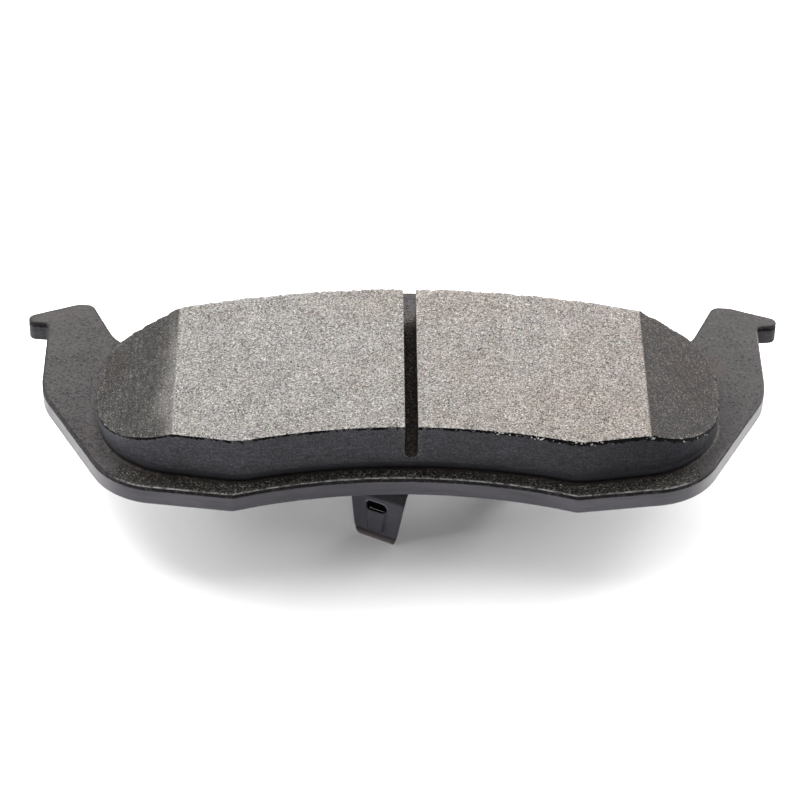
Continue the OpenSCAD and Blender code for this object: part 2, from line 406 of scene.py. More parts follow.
def plate_paint():
    m, g = material("plate_paint")
    foot = g.attribute("foot")          # 1 in the gritty band round the block's foot
    edge = g.attribute("edge")          # 1 on the sheared edge, 0 on the faces
    rim = g.attribute("rim")            # 1 along the rim that faces forward, where the highlight is painted
    groove = g.attribute("groove")      # 1 in the line under the rim, painted near black as shade
    warm = g.attribute("warm")          # 1 where rust tints the paint
    pit = g.attribute("pit")            # 1 where the paint is pitted
    big = g.noise(38, 3, 0.55)
    mid = g.noise(260, 4, 0.6)
    fine = g.noise(1300, 3, 0.65)
    c1 = g.red(g.cells(3600))
    c2 = g.red(g.cells(5400))
    base = g.mix(g.range(big, 0.35, 0.7), PAINT[0], PAINT[1])
    base = g.mix(g.range(fine, 0.48, 0.72, 0, 0.75), base, PAINT[2])
    base = g.mix(g.range(fine, 0.30, 0.44, 0.55, 0.0), base, PAINT[3])
    # dark pits, thick near the block and thin towards the ears' ends
    worm = g.noise(2050, 2, 0.6, g.scaled(0.8, 1, 1, 0.35), 0.3)
    share = g.math("MULTIPLY", g.math("ADD", g.math("MULTIPLY", pit, 0.075), g.range(mid, 0.35, 0.65, -0.02, 0.03)), 1.0)
    hit = g.range(g.math("SUBTRACT", worm, share), 0.335, 0.385, 1.0, 0.0)
    hit = g.math("MULTIPLY", hit, g.range(pit, 0.0, 0.25, 0.25, 1.0))
    base = g.mix(g.math("MULTIPLY", hit, 0.93), base, (0.005, 0.0045, 0.0045))
    face = g.math("SUBTRACT", 1.0, edge)
    # over-sprayed, gritty band at the block's foot
    grit_mask = g.math("MULTIPLY", g.range(g.math("ADD", foot, g.range(mid, 0.3, 0.7, -0.2, 0.2)), 0.3, 0.6), face, clamp=True)
    mixc = g.math("ADD", g.math("MULTIPLY", c1, 0.6), g.math("MULTIPLY", c2, 0.4))
    gritty = g.ramp(mixc, [(0.12, GRIT[0]), (0.42, GRIT[1]), (0.64, GRIT[2]), (0.82, GRIT[3]), (0.97, GRIT[4])])
    gx = g.xyz()[0]
    far_left = g.range(gx, -0.060, -0.040, 1.0, 0.0)
    far_right = g.range(gx, 0.045, 0.060, 0.0, 1.0)
    gritty = g.mix(g.math("ADD", far_left, far_right), gritty, g.mix(1.0, gritty, (0.5, 0.48, 0.47), "MULTIPLY"))
    base = g.mix(g.math("MULTIPLY", grit_mask, 0.94), base, gritty)
    rust = g.mix(g.range(fine, 0.4, 0.7), (0.066, 0.040, 0.031), (0.024, 0.016, 0.014))
    rust_mask = g.math("MULTIPLY", g.range(g.math("ADD", warm, g.range(mid, 0.3, 0.7, -0.4, 0.3)), 0.42, 0.9), 0.4)
    rust_mask = g.math("MULTIPLY", rust_mask, g.range(c1, 0.25, 0.7, 0.25, 1.0))
    base = g.mix(rust_mask, base, rust)
    side = g.mix(g.range(big, 0.3, 0.7), EDGE[0], EDGE[1])
    streak = g.noise(70, 4, 0.65, g.scaled(1, 1, 9))
    side = g.mix(g.range(streak, 0.45, 0.75, 0, 0.6), side, EDGE[2])
    side = g.mix(g.range(fine, 0.5, 0.75, 0, 0.35), side, PAINT[2])
    # painted light: paler flanks of the sheared edge
    side = g.mix(g.math("MULTIPLY", g.attribute("painted_flank_light"), g.range(streak, 0.3, 0.7, 0.55, 1.0)), side, (0.15, 0.146, 0.144))
    base = g.mix(edge, base, side)
    # painted shade: near black in the groove under the rim, on the flanks' rim and under the hooks
    base = g.mix(g.math("MULTIPLY", groove, g.range(g.noise(800, 4, 0.8), 0.34, 0.50, 0.42, 0.98)), base, (0.0026, 0.0024, 0.0024))
    # painted highlight along the rim that faces forward
    rim_highlight = g.math("MULTIPLY", rim, g.range(g.noise(620, 4, 0.8), 0.40, 0.58, 0.05, 1.0))
    base = g.mix(g.math("MULTIPLY", rim_highlight, 0.95), base, (0.31, 0.305, 0.30))
    rough = g.mix(edge, g.range(mid, 0.3, 0.7, 0.46, 0.62), g.range(streak, 0.3, 0.7, 0.40, 0.54))
    rough = g.mix(grit_mask, rough, 0.72)
    rough = g.mix(groove, rough, 0.9)
    h = g.math("ADD", g.math("MULTIPLY", fine, 0.9), g.math("MULTIPLY", mid, 0.9))
    n1 = g.bump(h, g.math("ADD", 0.22, g.math("MULTIPLY", pit, 0.3)), 0.00011)
    n2 = g.bump(mixc, g.math("MULTIPLY", grit_mask, 0.8), 0.00016, n1)
    n3 = g.bump(hit, -0.6, 0.0001, n2)
    n4 = g.bump(streak, g.math("MULTIPLY", edge, 0.18), 0.00012, n3)
    g.finish(base, rough, n4, Specular_IOR_Level=g.mix(edge, (0.10, 0.10, 0.10), (0.24, 0.24, 0.24)))
    return m


def friction_material():
    m, g = material("friction")
    cham = g.attribute("cham")          # 0 on the ground flat, 1 on the chamfers
    side = g.attribute("side")          # 1 on the moulded sides
    cut = g.attribute("cut")            # 1 inside the slot
    rim = g.attribute("rim")            # 1 along the top edges
    low = g.attribute("low")            # 1 at the foot of the sides
    mouth = g.attribute("mouth")        # 1 at the foot of the sides, where shade is painted
    ruddy = g.attribute("ruddy")        # 1 where rust tints the compound
    tone = g.noise(30, 3, 0.55)
    blot = g.noise(170, 3, 0.55)
    n1 = g.noise(3300, 2, 0.7)
    c1 = g.red(g.cells(4100))
    c2 = g.red(g.cells(5900))
    chip = g.red(g.cells(3000))
    hue = g.node("ShaderNodeTexNoise", {"Vector": g.co, "Scale": 1500.0, "Detail": 2.0}).outputs["Color"]
    speck = g.math("ADD", g.math("MULTIPLY", c1, 0.50), g.math("ADD", g.math("MULTIPLY", c2, 0.28), g.math("MULTIPLY", g.range(n1, 0.28, 0.72), 0.24)))
    speck = g.math("ADD", speck, g.range(blot, 0.3, 0.7, -0.04, 0.04))
    ground = g.ramp(speck, [(0.12, GROUND[0]), (0.27, GROUND[1]), (0.44, GROUND[2]), (0.60, GROUND[3]), (0.79, GROUND[4]), (0.97, GROUND[5])])
    ground = g.mix(g.range(chip, 0.975, 0.99, 0, 0.5), ground, GROUND[5])
    ground = g.mix(g.range(chip, 0.0, 0.07, 0.85, 0), ground, GROUND[0])
    ground = g.mix(0.16, ground, hue, "OVERLAY")
    x, y, z = g.xyz()
    ground = g.mix(g.range(tone, 0.4, 0.6, 0.0, 1.0), ground, g.mix(1.0, ground, (1.0, 0.968, 0.945), "MULTIPLY"))
    ground = g.mix(g.range(x, -0.05, 0.05, 0.0, 0.7), ground, g.mix(1.0, ground, (1.03, 0.965, 0.94), "MULTIPLY"))
    # chamfers: the same compound, ground but not polished, much darker, with lines along the grinding
    lines = g.noise(1, 2, 0.6, g.scaled(1500, 60, 60))
    dark = g.ramp(g.math("ADD", speck, g.math("MULTIPLY", g.range(lines, 0.3, 0.7, -0.07, 0.07), g.range(x, -0.01, 0.02, 1.0, 0.15))), [(0.12, DARK[0]), (0.33, DARK[1]), (0.56, DARK[2]), (0.78, DARK[3]), (0.96, DARK[4])])
    dark = g.mix(g.range(chip, 0.0, 0.07, 0.8, 0), dark, DARK[0])
    dark = g.mix(g.range(x, 0.02, 0.06, 0.0, 1.0), dark, g.mix(1.0, dark, g.ramp(c1, [(0.1, (0.20, 0.185, 0.18)), (0.5, (0.44, 0.405, 0.40)), (0.9, (0.92, 0.85, 0.83))]), "MULTIPLY"))
    dark = g.mix(g.math("MULTIPLY", ruddy, g.range(blot, 0.3, 0.6, 0.3, 0.8)), dark, g.mix(1.0, dark, (1.16, 0.97, 0.93), "MULTIPLY"))
    gate = g.math("ADD", cham, g.range(g.math("ADD", g.math("MULTIPLY", n1, 0.5), g.math("MULTIPLY", c1, 0.5)), 0.2, 0.8, -0.26, 0.26))
    gate = g.range(gate, 0.36, 0.60)
    base = g.mix(gate, ground, dark)
    # moulded sides: smooth dark skin with faint streaks along the block
    hair = g.noise(330, 5, 0.78, g.scaled(1, 1, 4.2), 0.5)
    skin = g.mix(g.range(hair, 0.36, 0.64), SKIN[0], SKIN[1])
    skin = g.mix(1.0, skin, g.ramp(speck, [(0.15, 0.35), (0.5, 1.0), (0.85, 2.2)]), "MULTIPLY")
    skin = g.mix(g.range(x, -0.058, -0.03, 1.0, 0.0), skin, g.mix(1.0, skin, (0.86, 0.86, 0.88), "MULTIPLY"))
    skin = g.mix(g.range(x, 0.0, 0.04, 0.0, 1.0), skin, g.mix(1.0, skin, (0.50, 0.50, 0.52), "MULTIPLY"))
    # painted shade: the skin goes near black towards the foot of the sides
    skin = g.mix(g.range(low, 0.0, 1.0, 0, 0.97), skin, (0.0034, 0.0032, 0.0036))
    rubble = g.ramp(speck, [(0.2, (0.004, 0.004, 0.004)), (0.5, (0.02, 0.02, 0.022)), (0.75, (0.07, 0.068, 0.07)), (0.95, (0.22, 0.21, 0.20))])
    skin = g.mix(g.math("MULTIPLY", mouth, g.range(c1, 0.35, 0.6)), skin, rubble)
    ragged = g.math("ADD", g.range(n1, 0.3, 0.7, -0.18, 0.18), g.range(g.noise(1300, 3, 0.8), 0.34, 0.66, -0.24, 0.24))
    sgate = g.range(g.math("ADD", side, ragged), 0.38, 0.60)
    base = g.mix(sgate, base, skin)
    # black crumbled line under the top edge
    gap = g.range(g.math("ADD", g.attribute("gap"), g.range(g.noise(1000, 3, 0.8), 0.34, 0.66, -0.42, 0.42)), 0.34, 0.52)
    base = g.mix(gap, base, (0.0025, 0.0025, 0.0028))
    flake = g.math("MULTIPLY", g.range(g.attribute("gap"), 0.15, 0.5), g.range(g.red(g.cells(2600)), 0.86, 0.90))
    flake = g.math("MULTIPLY", flake, g.math("MULTIPLY", g.range(x, 0.0, 0.02, 0.05, 0.9), g.range(g.noise(140, 3, 0.6), 0.46, 0.6)))
    base = g.mix(flake, base, GROUND[5])
    # the slot's walls and floor: sawn, dark and rough
    sawn = g.ramp(speck, [(0.15, (0.004, 0.0035, 0.0032)), (0.5, (0.026, 0.022, 0.0195)), (0.8, (0.085, 0.073, 0.064)), (0.97, (0.27, 0.24, 0.21))])
    base = g.mix(cut, base, sawn)
    # bright crumbs where the edge broke away
    crumb = g.math("MULTIPLY", rim, g.range(g.noise(1500, 3, 0.8), 0.5, 0.62))
    crumb = g.math("MULTIPLY", crumb, g.math("SUBTRACT", 1.0, g.math("MULTIPLY", gate, 0.8)))
    base = g.mix(g.math("MULTIPLY", crumb, 0.75), base, GROUND[5])
    grain = g.math("ADD", g.math("MULTIPLY", c1, 0.7), g.math("MULTIPLY", n1, 0.9))
    pits = g.range(chip, 0.0, 0.10, -1.0, 0.0)
    grain = g.math("ADD", grain, g.math("MULTIPLY", pits, 0.8))
    topn = g.bump(grain, g.math("SUBTRACT", 0.95, g.math("MULTIPLY", sgate, 0.88)), 0.00009)
    sn = g.bump(g.math("ADD", g.math("MULTIPLY", hair, 1.2), g.math("MULTIPLY", g.noise(800, 3), 0.4)), g.math("MULTIPLY", sgate, 0.4), 0.00018, topn)
    rough = g.mix(sgate, g.range(c1, 0, 1, 0.66, 0.88), g.range(hair, 0.3, 0.7, 0.40, 0.55))
    sheen = g.mix(g.range(x, 0.025, 0.055), (0.22, 0.22, 0.22), (0.07, 0.07, 0.07))
    g.finish(base, rough, sn, Specular_IOR_Level=g.mix(gap, g.mix(sgate, (0.07, 0.07, 0.07), sheen), (0.02, 0.02, 0.02)))
    return m


def skin_material():
    m, g = material("underlayer")
    low = g.attribute("low")
    hair = g.noise(210, 5, 0.72, g.scaled(1, 1, 5.5), 0.5)
    base = g.mix(g.range(hair, 0.36, 0.66), SKIN[0], SKIN[1])
    # painted shade: near black towards the foot
    base = g.mix(low, base, (0.0022, 0.002, 0.0024))
    n = g.bump(g.math("ADD", hair, g.noise(800, 3)), 0.35, 0.00016)
    g.finish(base, g.range(hair, 0.3, 0.7, 0.55, 0.7), n, Specular_IOR_Level=0.12)
    return m


def bead_material():
    m, g = material("bond_film")
    a = g.noise(180, 4, 0.65)
    b = g.noise(1900, 3, 0.7)
    c = g.red(g.cells(2300))
    base = g.mix(g.range(a, 0.42, 0.7), (0.008, 0.007, 0.006), (0.028, 0.018, 0.012))
    base = g.mix(g.range(b, 0.55, 0.78, 0, 0.7), base, (0.075, 0.063, 0.05))
    base = g.mix(g.range(c, 0.62, 0.9, 0, 0.9), base, (0.006, 0.005, 0.0045))
    n = g.bump(g.math("ADD", b, c), 0.8, 0.00018)
    g.finish(base, 0.78, n, Specular_IOR_Level=0.3)
    return m


def sheet_steel(name, dark, light, rough0, rough1, metal, spec=0.5):
    """Dark phosphated sheet, with rolling lines and faint oil marks."""
    m, g = material(name)
    roll = g.noise(150, 4, 0.65, g.scaled(1, 1, 0.18))
    blot = g.noise(90, 3, 0.6)
    fine = g.noise(2600, 3, 0.6)
    base = g.mix(g.range(g.math("ADD", g.math("MULTIPLY", roll, 0.6), g.math("MULTIPLY", blot, 0.4)), 0.38, 0.62), dark, light)
    base = g.mix(g.range(fine, 0.55, 0.8, 0, 0.35), base, tuple(min(1, 1.7 * v) for v in light))
    # painted highlight on the lip round the hole
    base = g.mix(g.attribute("painted_lip_highlight"), base, tuple(min(1, 3.4 * v) for v in light))
    # toe band: painted lighter, as light from above falls on it, and brownish with dust and oil
    base = g.mix(g.math("MULTIPLY", g.attribute("toe"), g.range(fine, 0.35, 0.65, 0.25, 0.7)), base, (0.16, 0.13, 0.105))
    # painted shade in the creases along the channel and at the toe
    base = g.mix(g.attribute("painted_crease_shade"), base, (0.008, 0.008, 0.009))
    # painted shade in the leg's bend and in its hole
    base = g.mix(g.attribute("painted_shade"), base, (0.0022, 0.002, 0.0022))
    rough = g.range(blot, 0.3, 0.7, rough0, rough1)
    rough = g.mix(g.attribute("painted_shade"), rough, 0.85)
    n = g.bump(g.math("ADD", g.math("MULTIPLY", roll, 0.8), g.math("MULTIPLY", fine, 0.35)), 0.22, 0.00006)
    g.finish(base, rough, n, Metallic=metal, Specular_IOR_Level=spec)
    return m


def rubber_coat():
    m, g = material("shim_rubber")
    a = g.noise(45, 3, 0.55)
    f = g.noise(2300, 3, 0.65)
    scuff = g.noise(75, 4, 0.7, g.scaled(1, 9, 1, 0.5), 1.0)
    base = g.mix(g.range(a, 0.35, 0.7), (0.020, 0.020, 0.021), (0.032, 0.032, 0.034))
    base = g.mix(g.range(scuff, 0.62, 0.78, 0, 0.6), base, (0.075, 0.075, 0.078))
    base = g.mix(g.range(f, 0.55, 0.8, 0, 0.4), base, (0.06, 0.06, 0.062))
    n = g.bump(f, 0.3, 0.00008)
    g.finish(base, g.range(a, 0.3, 0.7, 0.55, 0.72), n, Specular_IOR_Level=0.4)
    return m


def film(name, a, b, sheen=0.5):
    m, g = material(name)
    f = g.noise(500, 4, 0.6)
    base = g.mix(g.range(f, 0.35, 0.7), a, b)
    g.finish(base, g.range(f, 0.3, 0.7, 0.35, 0.55), g.bump(f, 0.3, 0.0001), Specular_IOR_Level=sheen)
    return m


# colours, linear: paint, sheared edge, grit, ground flat, chamfer, moulded skin
PAINT = [(0.0275, 0.0245, 0.0245), (0.0335, 0.030, 0.030), (0.053, 0.0485, 0.0485), (0.018, 0.016, 0.016)]
EDGE = [(0.050, 0.047, 0.054), (0.069, 0.065, 0.075), (0.026, 0.025, 0.028)]
GRIT = [(0.007, 0.0062, 0.0055), (0.024, 0.022, 0.0195), (0.063, 0.059, 0.052), (0.145, 0.137, 0.123), (0.38, 0.365, 0.335)]
GROUND = [(0.016, 0.0145, 0.013), (0.064, 0.060, 0.056), (0.122, 0.117, 0.110), (0.176, 0.170, 0.162), (0.255, 0.247, 0.236), (0.46, 0.45, 0.435)]
DARK = [(0.0035, 0.0032, 0.003), (0.012, 0.0112, 0.0105), (0.029, 0.0272, 0.0256), (0.062, 0.0585, 0.0555), (0.17, 0.163, 0.155)]
SKIN = [(0.0125, 0.0125, 0.0155), (0.030, 0.030, 0.0355), (0.12, 0.12, 0.125)]
M_PLATE = plate_paint()
M_FRICTION = friction_material()
M_SKIN = skin_material()
M_BEAD = bead_material()
M_CLIP = sheet_steel("spring_steel", (0.040, 0.040, 0.047), (0.060, 0.060, 0.070), 0.40, 0.54, 0.25, 0.25)
# painted shade: near-black film for the collar behind the clip's hole
M_HOLE_SHADE = film("spring_steel_hole_shade", (0.0022, 0.0022, 0.0024), (0.004, 0.004, 0.0042), 0.02)
M_RIVET = sheet_steel("rivet_steel", (0.30, 0.30, 0.30), (0.44, 0.44, 0.43), 0.32, 0.48, 1.0)
M_SHIM = sheet_steel("shim_steel", (0.36, 0.36, 0.37), (0.52, 0.52, 0.53), 0.28, 0.42, 1.0)
M_RUBBER = rubber_coat()
M_GLUE = film("shim_adhesive", (0.36, 0.32, 0.22), (0.50, 0.46, 0.35))

# ---------------------------------------------------------------- backing plate
def build_plate():
    b = Builder()
    nz = Noise(11)
    ring = resample(plate_line, 0.45)
    nrm = out_normals(ring, 2)
    wob = nz.octaves(ring[:, 0] * 0.55, ring[:, 1] * 0.55, 0, 3)
    fine = nz.octaves(ring[:, 0] * 1.7, ring[:, 1] * 1.7, 5, 2)
    nick = np.clip(nz.at(ring[:, 0] * 1.3, ring[:, 1] * 1.3, 9) - 0.62, 0, 1) * 0.5
    front = smooth(0.72, 0.93, -nrm[:, 1])
    # inset and height of each loop, front to back: rolled rim, groove under it (painted near black as shade), smooth
    # shear, break, burr
    prof = [(0.85, 0.0, 0), (0.52, -0.008, 0), (0.30, -0.035, 0), (0.16, -0.10, 0), (0.07, -0.19, 0), (0.03, -0.29, 0),
            (0.05, -0.36, 1), (0.18, -0.44, 1), (0.28, -0.57, 1), (0.29, -0.78, 1), (0.19, -0.98, 1), (0.05, -1.15, 1),
            (0.01, -1.35, 0), (0.0, -1.9, 0), (0.01, -2.8, 0), (0.03, -3.6, 0), (0.01, -4.2, 0), (0.02, -4.7, 0),
            (0.07, -4.9, 0), (0.16, -4.98, 0), (0.30, -5.0, 0)]
    loops, xy = [], []
    for k, (d, z, g) in enumerate(prof):
        jag = 0.028 * wob + 0.012 * fine + 0.02
        if 1 <= k <= 6:
            jag = jag + nick * (0.8 if k > 2 else 0.4)
        zz = z + 0.07 * wob * (1 if 3 <= k <= 12 else 0) + 0.035 * fine * g
        if k in (0, len(prof) - 1):
            zz = np.full(len(ring), z)
        depth = d * (0.45 + 0.55 * front) if g else d
        p = ring - nrm * (depth + np.clip(jag, 0, 1))[:, None]
        xy.append(p)
        loops.append(b.points(np.c_[p, zz], 10 + k))
    for k in range(len(loops) - 1):
        b.strip(loops[k + 1], loops[k])
    # moulding holes and the rivet's hole
    hole_front, hole_back = [], []
    for c, r in [(h, 4.0) for h in HOLES] + [(tuple(PISTON), 2.5)]:
        a = np.linspace(0, 2 * math.pi, 48, endpoint=False)
        u = np.stack([np.cos(a), np.sin(a)], 1)
        rf = 4.5 if r == 2.5 else r
        prof_h = [(rf, 0.0), (r, -2.0 if r == 2.5 else -0.3), (r, -3.5), (r, -5.0)]
        hl = [(b.points(np.c_[np.array(c) + u * q, np.full(48, z)]), np.array(c) + u * q) for q, z in prof_h]
        for k in range(3):
            b.strip(hl[k][0], hl[k + 1][0])
        hole_front.append(hl[0])
        hole_back.append(hl[-1])
    hs = [(c, 4.0) for c in HOLES] + [(PISTON, 4.5)]
    near = []
    for d in (0.35, 0.8, 1.3, 1.9, 2.6, 3.4):
        q = resample(block_line, 0.9)
        q = q + out_normals(q, 2) * d
        near.append(q[inside(q, xy[0])])
    near = np.vstack(near)
    near = near[distance(near, resample(xy[0], 0.4)) > 0.5]
    g1 = grid_points(xy[0], 1.5, 3, 0.9, hs)
    g1 = g1[distance(g1, near) > 0.8]

    def front_z(p):
        flat = smooth(0.0, 2.0, distance(p, resample(xy[0], 0.5)))
        return 0.03 * flat * np.minimum(nz.octaves(p[:, 0] * 0.35, p[:, 1] * 0.35, 4, 3), 0)

    b.cap([(loops[0], xy[0])], hole_front, np.vstack([near, g1]), front_z, tag=1)
    b.cap([(loops[-1], xy[-1])], hole_back, grid_points(xy[-1], 2.6, 4, 1.2, hs), -5.0, flip=True)
    v = b.xyz()
    tag = np.concatenate(b.tags)
    x, y = v[:, 0], v[:, 1]
    d_out = distance(v[:, :2], resample(block_line, 0.4))
    in_block = inside(v[:, :2], block_line)
    on_face = (tag == 1) | ((tag >= 10) & (tag <= 13))
    foot = 1 - smooth(-1.0, 5.5, y + 0.9 * d_out)
    foot = np.maximum(foot, 0.75 * (1 - smooth(0.2, 0.9, d_out)) * (1 - smooth(20, 30, y)))
    foot = np.where(in_block, 1.0, foot) * on_face
    loop = np.where(tag >= 10, tag - 10, -1)
    edge = np.where((loop >= 6) & (loop <= 18), 1.0, 0.0)
    groove = np.where((loop >= 6) & (loop <= 11), 1.0, 0.0)
    fr = np.zeros(len(v))
    near_ring = np.where(loop >= 0)[0]
    fr[near_ring] = np.tile(front, len(prof))[: len(near_ring)]
    fr = fr * (1 - smooth(58, 70, np.abs(x)))
    rim = np.where((loop == 3) | (loop == 4), 1.0, np.where(loop == 2, 0.25, 0.0)) * fr
    # painted light: the flanks of the sheared edge are painted paler where side light falls on them
    sx = np.zeros(len(v))
    sx[near_ring] = np.tile(smooth(0.45, 0.8, np.abs(nrm[:, 0])) * (nrm[:, 1] < 0.1), len(prof))[: len(near_ring)]
    painted_flank_light = sx * np.where((loop >= 12) & (loop <= 18), 1.0, 0.0) * (1 - smooth(14, 30, y)) * np.where(x < 0, 0.45, 1.0)
    # painted shade: on the flanks the rolled rim is painted as dark as the groove
    flank_rim_shade = np.where((loop >= 2) & (loop <= 5), 0.62 - 0.3 * smooth(30, 60, x), np.where(loop == 1, 0.2, 0.0)) * (1 - fr) * (loop >= 0)
    groove = np.maximum(groove, flank_rim_shade)
    # painted shade under the hooks
    groove = np.maximum(groove, 0.6 * ((loop >= 12) & (loop <= 19)) * (y > 47) * (y < 52) * (np.abs(x) > 81))
    pit = (1 - smooth(6, 26, d_out)) * (0.55 + 0.45 * (x < 0)) * smooth(-4, 8, y)
    pit = np.maximum(pit, 0.9 * np.exp(-((x - 66.5) / 6) ** 2 - ((y - 43) / 6) ** 2)) * on_face
    # rust tints: beside the block's right end, at its left foot and on the left neck
    warm = np.zeros(len(v))
    for cx, cy, sx, sy, a in ((69, 36, 5.5, 8, 0.85), (64, 44, 4, 3.5, 0.4), (-69.9, 12, 1.3, 5.5, 1.0),
                              (-68.6, 4.5, 1.0, 3.2, 0.9), (-62, -1.6, 4.5, 0.9, 0.5), (-73.5, 31, 3.0, 6, 0.45), (-81, 29, 0.9, 6, 0.6)):
        warm = np.maximum(warm, a * np.exp(-((x - cx) / sx) ** 2 - ((y - cy) / sy) ** 2))
    warm = warm * on_face
    return b.make("backing_plate_visual", [M_PLATE], attributes={"foot": foot, "edge": edge, "groove": groove, "rim": rim, "warm": warm, "pit": pit, "painted_flank_light": painted_flank_light})


# ---------------------------------------------------------------- friction block
def block_top(x):
    return TOP - SLOPE * np.maximum(np.abs(np.asarray(x) - GRIND_DX) - FLAT, 0)


def split_ring(step):
    """The block's outline as the right half, left half and the slot's two mouths, all in one turn from the near mouth."""
    xr, xl = GRIND_DX + SLOT_W / 2, GRIND_DX - SLOT_W / 2
    near = lambda x: -137 + math.sqrt(137 ** 2 - (x - BLOCK_DX) ** 2)
    far = lambda x: -137 + math.sqrt(185.4 ** 2 - (x - BLOCK_DX) ** 2)
    q = resample(block_line, 0.2)
    ymid = 22.0
    right = q[q[:, 0] > xr]
    left = q[q[:, 0] < xl]
    ar = np.arctan2(right[:, 1] - ymid, right[:, 0] - GRIND_DX)
    right = right[np.argsort(ar)]
    al = np.arctan2(left[:, 1] - ymid, left[:, 0] - GRIND_DX) % (2 * math.pi)
    left = left[np.argsort(al)]
    right = np.vstack([[xr, near(xr)], right, [xr, far(xr)]])
    left = np.vstack([[xl, far(xl)], left, [xl, near(xl)]])

    def again(p):
        d = np.r_[0, np.cumsum(np.hypot(*np.diff(p, axis=0).T))]
        n = int(round(d[-1] / step))
        s = np.linspace(0, d[-1], n + 1)
        return np.stack([np.interp(s, d, p[:, 0]), np.interp(s, d, p[:, 1])], 1)

    return again(right), again(left)


